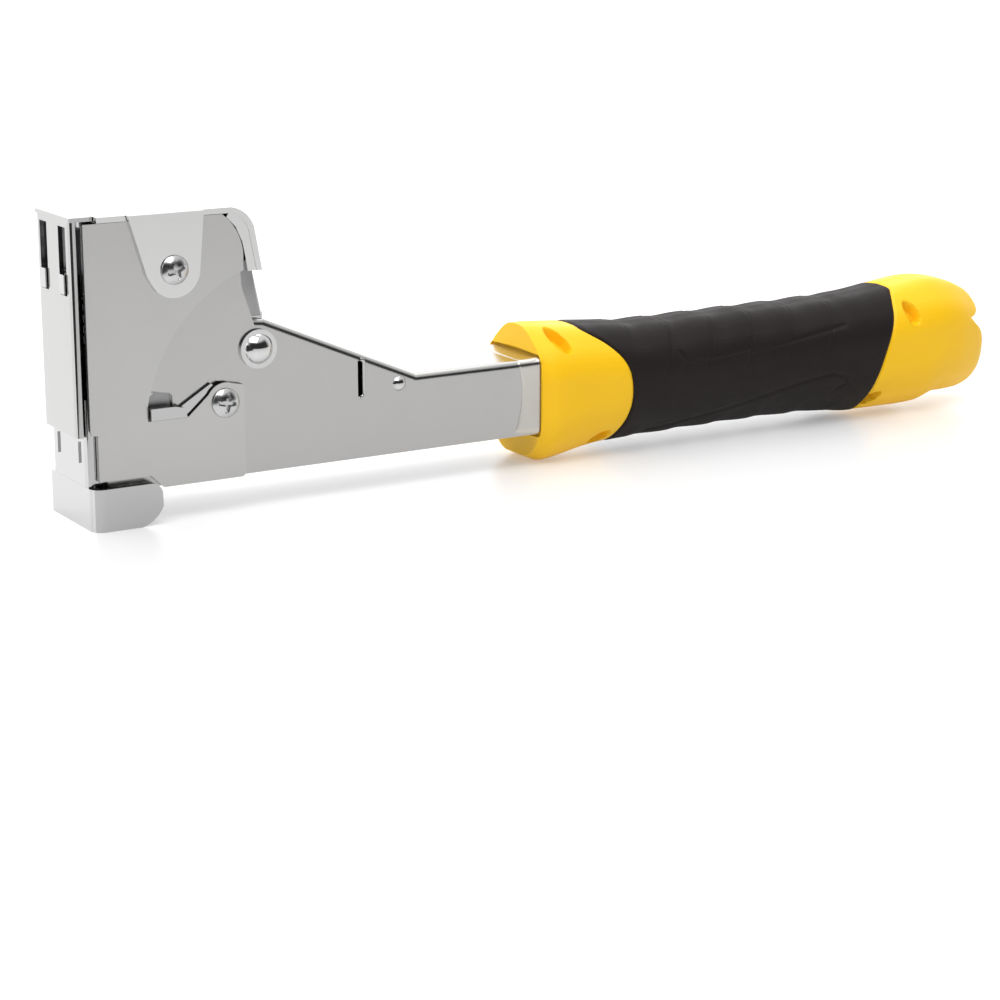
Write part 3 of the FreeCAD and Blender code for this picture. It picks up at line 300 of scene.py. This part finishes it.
def section(x):
    """The handle's outline at x, as AROUND points in mm from the underside's middle round."""
    wide, top, low, roof = along(WIDTH, x), along(TOP, x), along(BOTTOM, x), along(ROOF, x)
    shoulder, waist = top - 8.6, low + 8.4
    foot = wide * 0.52
    # each corner's y, z and rounding, from the underside up
    corners = [(foot, low, 5.5), (wide, waist, 7.5), (wide, shoulder, 6.5), (roof, top - 0.5, 4.5)]
    half = [(0.0, low)]
    chain = [(0.0, low)] + [(c[0], c[1]) for c in corners] + [(0.0, top)]
    for index, (cy, cz, radius) in enumerate(corners, start=1):
        corner = Vector((cy, cz))
        before, after = Vector(chain[index - 1]), Vector(chain[index + 1])
        back, ahead = before - corner, after - corner
        enter = corner + back.normalized() * min(radius, back.length * CORNER_SHARE)
        leave = corner + ahead.normalized() * min(radius, ahead.length * CORNER_SHARE)
        for step in range(CORNER_STEPS + 1):
            t = step / CORNER_STEPS
            spot = enter * (1 - t) ** 2 + corner * 2 * t * (1 - t) + leave * t**2
            half.append((spot.x, spot.y))
    half.append((0.0, top))
    points = even_points(half, AROUND // 2)
    left = [(-y, z) for y, z in reversed(points[1:-1])]
    return points + left


def even_points(path, count):
    """count + 1 points at even steps along a path of (y, z)."""
    lengths = [0.0]
    for a, b in zip(path, path[1:]):
        lengths.append(lengths[-1] + math.dist(a, b))
    points = []
    seek = 0
    for index in range(count + 1):
        target = lengths[-1] * index / count
        while seek < len(lengths) - 2 and lengths[seek + 1] < target:
            seek += 1
        t = (target - lengths[seek]) / max(1e-9, lengths[seek + 1] - lengths[seek])
        here, there = path[seek], path[seek + 1]
        points.append((lerp(here[0], there[0], t), lerp(here[1], there[1], t)))
    return points


REFERENCE = section(156)  # every ring is spaced as this one
# Where the rubber starts and ends, as (z, x).
FRONT_EDGE = [(0, 157.5), (3, 159.2), (6, 160.6), (9.5, 161.8), (14, 163.0), (18, 163.4), (22, 163.2),
              (26, 162.2), (29.5, 160.2), (33, 156.6), (35.6, 152.4), (36.8, 150.6), (40, 150.2)]
REAR_EDGE = [(0, 249.5), (4, 250.1), (8, 251.0), (13, 252.6), (19, 254.9), (25, 257.2), (30, 259.2),
             (34, 261.0), (36.2, 262.6), (37.4, 264.4), (41, 265.5)]


def edge_x(table, index):
    """X of a rubber edge at a ring's point."""
    return along(table, REFERENCE[index][1])


def outward(ring, index):
    """The unit direction out of a ring at one of its points."""
    before, after = ring[index - 1], ring[(index + 1) % len(ring)]
    dy, dz = after[0] - before[0], after[1] - before[1]
    size = math.hypot(dy, dz) or 1
    return dz / size, -dy / size


def oval(x, z, cx, cz, length, width, lean):
    """How deep inside a leaning oval a point is, 1 at the middle and 0 outside."""
    dx, dz = x - cx, z - cz
    u = dx * math.cos(lean) + dz * math.sin(lean)
    v = -dx * math.sin(lean) + dz * math.cos(lean)
    reach = math.hypot(u / length, v / width)
    return ease((1.08 - reach) / 0.22)


# The screw pits: x, z, half length, half width, lean.
PITS = [(141.0, 34.9, 3.7, 2.05, -0.9), (154.6, 5.6, 3.3, 1.6, 0.4),
        (266.2, 31.6, 3.5, 2.15, -1.15), (252.8, 6.4, 3.2, 1.6, 0.5)]
PIT_DEPTH = 3.3
SEAM_DEPTH, SEAM_HALF = 0.22, 0.28


def yellow_relief(x, y, z):
    """How far the yellow surface is pushed in, in mm: the pits and the mould's seam."""
    depth = sum(PIT_DEPTH * oval(x, z, *pit) for pit in PITS)
    return depth + SEAM_DEPTH * math.exp(-((y / SEAM_HALF) ** 2))


def groove(x, z, path, width):
    """1 on a line through the path's points, falling to 0 beside it."""
    best = 9.0
    for (x0, z0), (x1, z1) in zip(path, path[1:]):
        dx, dz = x1 - x0, z1 - z0
        t = max(0.0, min(1.0, ((x - x0) * dx + (z - z0) * dz) / (dx * dx + dz * dz)))
        best = min(best, math.hypot(x - x0 - dx * t, z - z0 - dz * t))
    return math.exp(-((best / width) ** 2))


# The two long grooves in the rubber, as (x, z).
SWIRLS = [
    [(180.5, 28.2), (182, 26.4), (185, 25.2), (190, 24.7), (200, 25.3), (215, 27.0), (230, 28.8),
     (241, 30.4)],
    [(172, 5.6), (178, 6.4), (190, 8.2), (204, 10.8), (218, 13.8), (228, 15.6), (236, 16.4),
     (240, 15.2), (240.8, 12.8), (237.6, 11.6)],
]
SWIRL_DEPTH, SWIRL_HALF = 0.34, 0.55
SCALLOP = 14.6  # spacing of the finger rests
SCALLOP_DEPTH, CREASE_DEPTH = 0.62, 0.24


def rubber_relief(x, z, upness):
    """How far the rubber stands out or in: scallops above and below, and long swirls."""
    phase = (x - 166 + 0.42 * (38 - z)) / SCALLOP
    saw = phase - math.floor(phase)
    within = ease((x - 160) / 10) * ease((250 - x) / 10)
    crest = ease((upness - 0.30) / 0.5) + 0.8 * ease((-upness - 0.5) / 0.4)
    hollow = 0.5 - 0.5 * math.cos(2 * math.pi * saw**0.7)
    lift = -SCALLOP_DEPTH * within * crest * hollow * (1 - saw)
    fold = math.exp(-(((saw - 0.04) / 0.035) ** 2))
    crease = -CREASE_DEPTH * within * ease((upness + 0.1) / 0.5) * fold
    swirl = -SWIRL_DEPTH * sum(groove(x, z, path, SWIRL_HALF) for path in SWIRLS)
    return lift + crease + swirl


def lip(distance):
    """The rounded edge where two materials meet."""
    return -0.45 * (1 - ease(distance / 0.8))


CACHE = {}


def section_cache(x):
    """The section at x, worked out once for each hundredth of a millimetre."""
    key = round(x, 2)
    if key not in CACHE:
        CACHE[key] = section(key)
    return CACHE[key]


def surface(start, end, steps, relief, lips):
    """Rows over the handle from start(index) to end(index), with relief and rounded ends."""
    rows = []
    for step in range(steps + 1):
        t = step / steps
        row = []
        for index in range(AROUND):
            x0, x1 = start(index), end(index)
            x = lerp(x0, x1, t)
            ring = section_cache(x)
            y, z = ring[index]
            ny, nz = outward(ring, index)
            push = relief(x, y, z, nz)
            if lips[0]:
                push += lip(x - x0)
            if lips[1]:
                push += lip(x1 - x)
            row.append(at(x, y + ny * push, z + nz * push))
        rows.append(row)
    return rows


MIDDLE = 20  # height of the handle's axis
EDGE_TURN = 2.4  # how far an edge turns in under its neighbour


def inset_row(row):
    """The row again, turned in towards the handle's axis, to close an edge."""
    made = []
    for point in row:
        y, z = point.y / MM, point.z / MM - MIDDLE
        size = math.hypot(y, z)
        turned = at(0, y * (1 - EDGE_TURN / size), MIDDLE + z * (1 - EDGE_TURN / size))
        turned.x = point.x
        made.append(turned)
    return made


COLLAR_FACE = 133.25  # X of the handle's front face
YELLOW_GAP, RUBBER_GAP = 0.06, 0.05  # each side's half of the joint line
RUBBER_PROUD = 0.12


def collar():
    """The front yellow shell: a face round the channel's mouth, then the side."""
    body = surface(
        lambda i: COLLAR_FACE,
        lambda i: edge_x(FRONT_EDGE, i) - YELLOW_GAP,
        76,
        lambda x, y, z, nz: -yellow_relief(x, y, z),
        (False, True),
    )
    mouth = rectangle_ring(133.9, 14.0, 8.5, 32.0, 1.9)
    face = []
    for fraction in (0.02, 0.5, 0.94):
        ring = []
        for index in range(AROUND):
            outer, inner = body[0][index], mouth[index]
            ring.append(outer.lerp(inner, fraction))
            ring[-1].x = at(COLLAR_FACE - 0.02 * fraction, 0, 0).x
        face.append(ring)
    tunnel = rectangle_ring(150, 12.35, 9.4, 31.0, 1.2)
    lead_in = rectangle_ring(134.4, 12.6, 9.35, 31.3, 1.2)
    rows = [tunnel, lead_in, mouth, *reversed(face), *body, inset_row(body[-1])]
    return grid_mesh("collar", rows)


def rectangle_ring(x, half, low, high, radius):
    """AROUND points round a rectangle with rounded corners, spaced as the handle's section."""
    points = []
    centre_z = (low + high) / 2
    half_z = (high - low) / 2
    for index in range(AROUND):
        y, z = REFERENCE[index]
        dy, dz = y, z - MIDDLE
        size = math.hypot(dy, dz)
        dy, dz = dy / size, dz / size
        reach_y = half / abs(dy) if abs(dy) > 1e-6 else math.inf
        reach_z = half_z / abs(dz) if abs(dz) > 1e-6 else math.inf
        reach = min(reach_y, reach_z)
        py, pz = dy * reach, dz * reach
        over_y, over_z = abs(py) - (half - radius), abs(pz) - (half_z - radius)
        if over_y > 0 and over_z > 0:
            size = math.hypot(over_y, over_z)
            py = math.copysign(half - radius + over_y * radius / size, py)
            pz = math.copysign(half_z - radius + over_z * radius / size, pz)
        points.append(at(x, py, centre_z + pz))
    return points


# The tail's end as (z, x): a lobe below and one above, with the hanging notch between.
END_EDGE = [(0, 288), (2.1, 292), (4.7, 298.0), (7.2, 299.9), (9.8, 300.4), (14, 300.6),
            (19, 300.6), (22.0, 300.4), (24.3, 299.6), (26.0, 297.6), (27.7, 294.0), (29.2, 296.6),
            (30.6, 298.4), (33, 299.0), (35.6, 298.4), (38.2, 296.4), (40.8, 289)]
TAIL_STEPS = 110
TAIL_MIDDLE = 19  # height the tail's end rounds towards
ROUNDING = 0.12  # share of the tail's length that rounds off


def tail():
    """The rear yellow shell, with the lobed end and its hanging notch."""
    rows = []
    for step in range(TAIL_STEPS + 1):
        t = step / TAIL_STEPS
        round_t = max(0.0, (t - 0.88) / ROUNDING)
        shrink = math.sqrt(max(0.0, 1 - (0.985 * round_t) ** 3.2))
        row = []
        for index in range(AROUND):
            x0 = edge_x(REAR_EDGE, index) + YELLOW_GAP
            z_guess = REFERENCE[index][1]
            end = along(END_EDGE, TAIL_MIDDLE + (z_guess - TAIL_MIDDLE) * lerp(0.72, 1, shrink))
            x = lerp(x0, end, t)
            ring = section_cache(x)
            y, z = ring[index]
            ny, nz = outward(ring, index)
            push = -yellow_relief(x, y, z) * min(1, shrink * 1.2) + lip(x - x0)
            y, z = y + ny * push, z + nz * push
            y *= lerp(0.52, 1.0, shrink)
            z = TAIL_MIDDLE + (z - TAIL_MIDDLE) * lerp(0.80, 1.0, shrink)
            row.append(at(min(x, along(END_EDGE, z)), y, z))
        rows.append(row)
    # the end closes along its middle line, where the two halves' points are welded
    for share in (0.8, 0.55, 0.3, 0.0):
        row = []
        for point in rows[TAIL_STEPS]:
            z = point.z / MM
            row.append(at(along(END_EDGE, z) + 0.25 * (1 - share * share), point.y / MM * share, z))
        rows.append(row)
    mesh = grid_mesh("tail", [inset_row(rows[0]), *rows])
    clean(mesh, 1e-7)
    return mesh


def grip():
    """The rubber between the two yellow shells."""
    rows = surface(
        lambda i: edge_x(FRONT_EDGE, i) + RUBBER_GAP,
        lambda i: edge_x(REAR_EDGE, i) - RUBBER_GAP,
        230,
        lambda x, y, z, nz: RUBBER_PROUD + rubber_relief(x, z, nz),
        (True, True),
    )
    return grid_mesh("grip", [inset_row(rows[0]), *rows, inset_row(rows[-1])])


SHELLS = ["handle_shell_left", "handle_shell_right"]
collar_piece = piece("handle_collar", collar(), "frame", YELLOW, SHELLS)
smooth(collar_piece, 35)
tail_piece = piece("handle_tail", tail(), "frame", YELLOW)
smooth(tail_piece, 50)
grip_piece = piece("rubber_grip", grip(), "frame", RUBBER, ["grip_sleeve"])
smooth(grip_piece, 60)

# ---------------------------------------------------------------- ferrule


FERRULE_END = 134.6
# How the band stands out of the channel's wall: (share of its length, mm).
FLARE = [(0.0, -0.1), (0.01, 0.06), (0.06, 0.2), (0.12, 0.25), (0.3, 0.32), (0.5, 0.46), (0.68, 0.68),
         (0.84, 0.98), (1.0, 1.4)]


def mouth_ring(half, low, high, radius, xs):
    """AROUND points round the channel's section; xs gives each point's X from its height."""
    made = []
    for point in rectangle_ring(0, half, low, high, radius):
        z = point.z / MM
        made.append(at(xs(z), point.y / MM, z))
    return made


def ferrule_front(z):
    """The ferrule's front edge, which hollows back towards the handle in the middle."""
    t = (z - MIDDLE) / 11
    return 127.9 + 0.9 * t - 2.2 * t * t + (0.9 if z > 30.4 else 0)


def ferrule():
    """A thin bright band that flares out into the handle's mouth, and its turned-in end."""
    rows = []
    for share, out in FLARE:
        rows.append(
            mouth_ring(
                12.25 + out, 9.5 - out * 0.55, 30.8 + out * 0.7, 1.9 + out * 0.3,
                lambda z: lerp(ferrule_front(z), FERRULE_END, share),
            )
        )
    rows.append(mouth_ring(12.3, 9.5, 30.9, 1.3, lambda z: FERRULE_END))
    return grid_mesh("ferrule", rows)


smooth(piece("ferrule_flare", ferrule(), "frame", COLLAR_BAND, ["channel_ferrule"]), 40)

# ---------------------------------------------------------------- screws


def cross_depth(u, v, half_width, reach):
    """How deep a cross recess is at (u, v): 1 at its floor, 0 outside."""
    best = 0.0
    for a, b in ((u, v), (v, u)):
        side = half_width * (1 - 0.35 * min(1, abs(a) / reach))
        inner = ease((side - abs(b)) / 0.22 + 0.5) * ease((reach - abs(a)) / 0.7 + 0.3)
        best = max(best, inner)
    return best


HEAD_RINGS, HEAD_POINTS = 34, 120
RIM_HEIGHT = 0.62
CROSS_DEPTH, CROSS_HALF, CROSS_REACH = 1.25, 0.62, 0.62  # reach is a share of the head's radius


def screw_head(name, x, z, side, face, radius, height, turn):
    """A domed head with a flat rim and a tapered cross recess, standing on face."""
    rows = []
    dome = radius * 0.95
    profile = [(radius, -0.5), (radius, 0.35), (radius * 0.985, 0.5), (dome, RIM_HEIGHT)]
    for share in range(1, HEAD_RINGS):
        r = dome * (1 - share / HEAD_RINGS)
        profile.append((r, RIM_HEIGHT + (height - RIM_HEIGHT) * (1 - (r / dome) ** 2.3)))
    for r, lift in profile:
        row = []
        for step in range(HEAD_POINTS):
            angle = 2 * math.pi * step / HEAD_POINTS
            u, v = r * math.cos(angle), r * math.sin(angle)
            cross = cross_depth(u, v, CROSS_HALF, radius * CROSS_REACH)
            drop = CROSS_DEPTH * cross * (1 - 0.3 * r / radius)
            p = u * math.cos(turn) - v * math.sin(turn)
            q = u * math.sin(turn) + v * math.cos(turn)
            row.append(at(x + p, side * (face + max(-0.4, lift - drop)), z + q))
        rows.append(row)
    return grid_mesh(name, rows, caps=(True, True))


def join_heads(name, spots, radius, height):
    """One mesh holding a head at each spot, given as (x, z, side, face, turn)."""
    shape = bmesh.new()
    for x, z, side, face, turn in spots:
        shape.from_mesh(screw_head(name + "_one", x, z, side, face, radius, height, turn))
    mesh = bpy.data.meshes.new(name)
    shape.to_mesh(mesh)
    shape.free()
    return mesh


PLATE_FACE = -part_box("head_plate_left")[0][1] / MM
CAP_FACE = -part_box("top_cap")[0][1] / MM
CAP_SCREWS = [(22.8, 65.8, -1, CAP_FACE, 0.35), (22.8, 65.8, 1, CAP_FACE, 1.1)]
LATCH_SCREWS = [(36.5, 29.6, -1, PLATE_FACE, -0.12), (36.5, 29.6, 1, PLATE_FACE, 0.6)]
HEAD_HEIGHT = 1.98
for label, spots, radius in (("cap_screws", CAP_SCREWS, 3.8), ("latch_screws", LATCH_SCREWS, 3.9)):
    mesh = join_heads(label, spots, radius, HEAD_HEIGHT)
    heads = piece(label + "_heads", mesh, "frame", SCREW, [label])
    smooth(heads, 38)

# ---------------------------------------------------------------- springs


TURN_STEPS, WIRE_SIDES = 22, 8


def coil(name, centre, axis, start, length, radius, wire, pitch):
    """A round-wire compression spring with one closed turn at each end; wire is its radius."""
    turns = round((length - 4 * wire) / pitch) + 2
    rows = []
    for step in range(turns * TURN_STEPS + 1):
        turn = step / TURN_STEPS
        open_turns = max(0, min(turn, turns - 1) - 1)
        climb = min(turn, 1) * 2 * wire + open_turns * (length - 6 * wire) / (turns - 2)
        climb += max(0, turn - turns + 1) * 2 * wire + wire
        angle = 2 * math.pi * turn
        row = []
        for side in range(WIRE_SIDES):
            around = 2 * math.pi * side / WIRE_SIDES
            reach = radius + wire * math.cos(around)
            u, v = reach * math.cos(angle), reach * math.sin(angle)
            w = start + climb + wire * math.sin(around)
            if axis == "x":
                row.append(at(w, centre[1] + u, centre[2] + v))
            else:
                row.append(at(centre[0] + u, centre[1] + v, w))
        rows.append(row)
    return grid_mesh(name, rows, caps=(True, True))


def from_datum(corner):
    """A corner of a node's box, in mm from the nose datum."""
    return [(corner[0] - DATUM) / MM, corner[1] / MM, corner[2] / MM]


def spring(label, body, axis, radius, wire, pitch):
    """A coil in the place of a spring node."""
    low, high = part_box(label)
    low, high = from_datum(low), from_datum(high)
    index = 0 if axis == "x" else 2
    middle = [(a + b) / 2 for a, b in zip(low, high)]
    length = high[index] - low[index]
    mesh = coil(label + "_wire", middle, axis, low[index], length, radius, wire, pitch)
    made = piece(label + "_coil", mesh, body, SPRING, [label])
    smooth(made, 50)
    middle[index] = high[index]
    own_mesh(made)


spring("return_spring", "frame", "z", 2.6, 0.5, 3.0)
spring("pusher_spring", "magazine", "x", 1.9, 0.3, 4.8)

# ---------------------------------------------------------------- pressed lugs


SLOT_X, SLOT_LOW, SLOT_HIGH, SLOT_HALF = 77.2, 27.3, 35.6, 0.95
QUARTER_STEPS, RIM_POINTS = 8, 12


def lug(side):
    """The rolled rim of the pressed slot in the wall, open on its front side."""
    lip_x = SLOT_X - SLOT_HALF * 0.2
    spine = [(lip_x, SLOT_LOW - SLOT_HALF)]
    for centre_z, first in ((SLOT_LOW, -math.pi / 2), (SLOT_HIGH, 0)):
        for step in range(QUARTER_STEPS + 1):
            angle = first + math.pi / 2 * step / QUARTER_STEPS
            x, z = SLOT_X + SLOT_HALF * math.cos(angle), centre_z + SLOT_HALF * math.sin(angle)
            spine.append((x, z))
    spine.append((lip_x, SLOT_HIGH + SLOT_HALF))
    rows = []
    for index, (px, pz) in enumerate(spine):
        before, after = spine[max(0, index - 1)], spine[min(len(spine) - 1, index + 1)]
        dx, dz = after[0] - before[0], after[1] - before[1]
        size = math.hypot(dx, dz)
        nx, nz = dz / size, -dx / size
        row = []
        for step in range(RIM_POINTS):
            angle = 2 * math.pi * step / RIM_POINTS
            out, rise = 0.5 * math.cos(angle), 0.42 * math.sin(angle)
            row.append(at(px + nx * out, side * (WALL_FACE - 0.05 + rise), pz + nz * out))
        rows.append(row)
    return grid_mesh("lug", rows, caps=(True, True))


WALL_FACE = -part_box("body_channel")[0][1] / MM
for label, side in (("slot_rim_left", -1), ("slot_rim_right", 1)):
    smooth(piece(label, lug(side), "frame", NOSE), 60)

# ---------------------------------------------------------------- rear seams, painted shade


def dished(name, outline, middle, layers, side):
    """A thin piece on one side of the tool, from layers of (distance out, inset) of an outline."""
    rows = []
    for reach, inset in layers:
        row = []
        for x, z in outline:
            toward_x, toward_z = middle[0] - x, middle[1] - z
            size = math.hypot(toward_x, toward_z)
            row.append(at(x + toward_x * inset / size, side * reach, z + toward_z * inset / size))
        rows.append(row)
    return grid_mesh(name, rows, caps=(True, True))


SEAM = [(41.6, 51.4), (47.9, 51.4), (46.6, 58.5), (45.3, 66.0), (42.4, 66.0)]
SEAM_MIDDLE = (44.8, 58.7)


def seam_shade_strip(side):
    """The rear sheet's folded edge, seen between the side plate and the sheet, painted dark as painted
    shade in the gap.
    """
    return dished("seam", SEAM, SEAM_MIDDLE, ((11.3, 0.0), (11.95, 0.0), (12.15, 0.2)), side)


# The seam strips carry painted shade, a dark line where the gap is shaded.
for label, side in (("rear_seam_left", -1), ("rear_seam_right", 1)):
    smooth(piece(label, seam_shade_strip(side), "frame", PAINTED_SHADE), 20)

# ---------------------------------------------------------------- latch windows, painted shade

WINDOW = [(15.0, 27.4), (21.8, 27.4), (21.8, 34.7), (16.9, 34.7), (15.4, 33.5)]
WINDOW_MIDDLE = (18.4, 31.0)
RECESS = 0.88  # depth of the wall's recess behind the window


def window_back(side):
    """A thin dark sheet in the wall's recess, behind the window, as painted shade for the shaded
    recess.
    """
    floor_y = WALL_FACE - RECESS
    rises = ((-0.12, 0.0), (0.03, 0.0), (0.07, 0.5), (0.08, 2.2))
    layers = [(floor_y + rise, inset) for rise, inset in rises]
    return dished("window_back", WINDOW, WINDOW_MIDDLE, layers, side)


# Each side gets a dark sheet of painted shade behind the latch window.
for label, side in (("window_back_left", -1), ("window_back_right", 1)):
    smooth(piece(label, window_back(side), "frame", PAINTED_SHADE), 20)

# ---------------------------------------------------------------- carried-over nodes

PAINT = {
    "body_channel": WALL, "head_plate_left": SIDE, "head_plate_right": SIDE,
    "front_channel": FRONT, "top_cap": CAPPING, "rear_plate": NOSE,
    "head_rivet": RIVET, "rivet_washers": RIVET, "side_rivets": RIVET, "magazine_pivot_pin": RIVET,
    "driver_block": DARK, "spring_post": PLAIN, "blade_rivets": PLAIN, "driver_blade": DARK,
    "nose_shoe": NOSE, "nose_guide": PLAIN, "link_pins": PLAIN,
    "magazine_channel": PLAIN, "staple_rail": PLAIN, "rail_rivets": RIVET, "guide_rod": RIVET,
    "staple_pusher": DARK, "latch_left": NOSE, "latch_right": NOSE, "latch_springs": SPRING,
    "handle_core": CORE, "tang_pins": PLAIN,
}
BEVELS = {  # width of the bent or broken edges, in mm
    "body_channel": 0.2, "head_plate_left": 0.35, "head_plate_right": 0.35, "front_channel": 0.25,
    "top_cap": 0.3, "rear_plate": 0.3, "nose_shoe": 0.3, "latch_left": 0.2, "latch_right": 0.2,
    "nose_guide": 0.2, "magazine_channel": 0.2, "staple_rail": 0.15, "driver_block": 0.3,
    "staple_pusher": 0.2,
}
for name, paint in PAINT.items():
    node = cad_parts[name]
    for slot in node.material_slots:
        slot.link = "OBJECT"
        slot.material = paint
    if name in BEVELS:
        bevel = node.modifiers.new("edges", "BEVEL")
        bevel.width = BEVELS[name] * MM
        bevel.segments = 3
        bevel.limit_method = "ANGLE"
        bevel.angle_limit = math.radians(40)
        bevel.harden_normals = True

# ---------------------------------------------------------------- floor, light and camera

bpy.ops.mesh.primitive_plane_add(size=24, location=(0, 0, 0))
floor = bpy.context.object
floor.name = "floor"
floor_paint, _, floor_shader = material("white floor")
floor_shader.inputs["Base Color"].default_value = (0.62, 0.62, 0.625, 1)
floor_shader.inputs["Roughness"].default_value = 0.28
floor_shader.inputs["Emission Color"].default_value = (1, 1, 1, 1)
floor_shader.inputs["Emission Strength"].default_value = 0.25
floor.data.materials.append(floor_paint)

world = bpy.data.worlds.new("studio")
scene.world = world
world.use_nodes = True
sky = world.node_tree
sky.nodes.clear()
sky_out = sky.nodes.new("ShaderNodeOutputWorld")
sky_back = sky.nodes.new("ShaderNodeBackground")
sky.links.new(sky_back.outputs[0], sky_out.inputs[0])
sky_place = sky.nodes.new("ShaderNodeTexCoord")
sky_split = sky.nodes.new("ShaderNodeSeparateXYZ")
sky.links.new(sky_place.outputs["Generated"], sky_split.inputs[0])


def sky_step(value, low, high, to_low, to_high):
    """A smooth change from to_low to to_high as value goes from low to high."""
    node = sky.nodes.new("ShaderNodeMapRange")
    node.interpolation_type = "SMOOTHSTEP"
    node.inputs["From Min"].default_value, node.inputs["From Max"].default_value = low, high
    node.inputs["To Min"].default_value, node.inputs["To Max"].default_value = to_low, to_high
    sky.links.new(value, node.inputs[0])
    return node.outputs[0]


def sky_times(a, b):
    node = sky.nodes.new("ShaderNodeMath")
    node.operation = "MULTIPLY"
    sky.links.new(a, node.inputs[0])
    sky.links.new(b, node.inputs[1])
    return node.outputs[0]


# White all round, but dark low down on the camera's side, for the plating to reflect,
# and brighter on the far side.
near = sky_step(sky_split.outputs["Y"], -0.55, -0.05, 1.0, 0.0)
lowdown = sky_step(sky_split.outputs["Z"], 0.50, 0.78, 1.0, 0.0)
gloom = sky_times(near, lowdown)
sky_tone = ramp(sky, gloom, [(0.0, (1.0, 1.0, 1.0)), (1.0, (0.035, 0.035, 0.037))])
sky.links.new(sky_tone, sky_back.inputs["Color"])
glow = sky_step(sky_split.outputs["Y"], 0.15, 0.75, 1.0, 1.75)
sky.links.new(glow, sky_back.inputs["Strength"])


def area(name, place, target, size, power):
    """A soft light; place, target and size are in metres."""
    data = bpy.data.lights.new(name, "AREA")
    data.shape = "RECTANGLE"
    data.size, data.size_y = size
    data.energy = power
    lamp = bpy.data.objects.new(name, data)
    scene.collection.objects.link(lamp)
    lamp.location = place
    aim = Vector(target) - Vector(place)
    lamp.rotation_euler = aim.to_track_quat("-Z", "Y").to_euler()


def card(name, corners, tone):
    """A dark studio flag beside the set, out of the picture, for the plating to reflect."""
    mesh = bpy.data.meshes.new(name)
    mesh.from_pydata([tuple(at(*c)) for c in corners], [], [tuple(range(len(corners)))])
    flag = bpy.data.objects.new(name, mesh)
    scene.collection.objects.link(flag)
    paint, tree, shader = material(name + " cloth")
    weave = noise_node(tree, 90, 3)
    stops = [(0.3, (tone, tone, tone)), (0.7, (tone * 1.4,) * 3)]
    tree.links.new(ramp(tree, weave, stops), shader.inputs["Base Color"])
    shader.inputs["Roughness"].default_value = 0.9
    mesh.materials.append(paint)
    flag.visible_shadow = False
    flag.visible_camera = False


FLAG_TONE = 0.02
card("flag_front", [(-92, -62, 0.5), (-178, -330, 0.5), (-178, -330, 95), (-92, -62, 95)], FLAG_TONE)
card("flag_side", [(-96, -30, 0.5), (-92, -62, 0.5), (-92, -62, 95), (-96, -30, 95)], FLAG_TONE)

area("key", (-0.45, -0.5, 1.2), (0, 0, 0.04), (1.1, 0.9), 11.3)
area("top", (0.1, 0.4, 1.3), (0, 0, 0.03), (1.4, 1.0), 5.0)
area("nose light", (-1.1, 0.05, 0.35), (-0.14, 0, 0.04), (0.5, 0.5), 1.0)

camera_data = bpy.data.cameras.new("camera")
camera_data.lens = 92.95
camera_data.sensor_width = 36
camera_data.clip_start, camera_data.clip_end = 0.05, 60
camera = bpy.data.objects.new("camera", camera_data)
scene.collection.objects.link(camera)
camera.location = at(-242.56, -612.3, 172.8)
turn, pitch = math.radians(31.2), math.radians(14.46)
heading = Vector((math.sin(turn) * math.cos(pitch), math.cos(turn) * math.cos(pitch), -math.sin(pitch)))
camera.rotation_euler = heading.to_track_quat("-Z", "Y").to_euler()
scene.camera = camera
scene.view_settings.view_transform = "Standard"
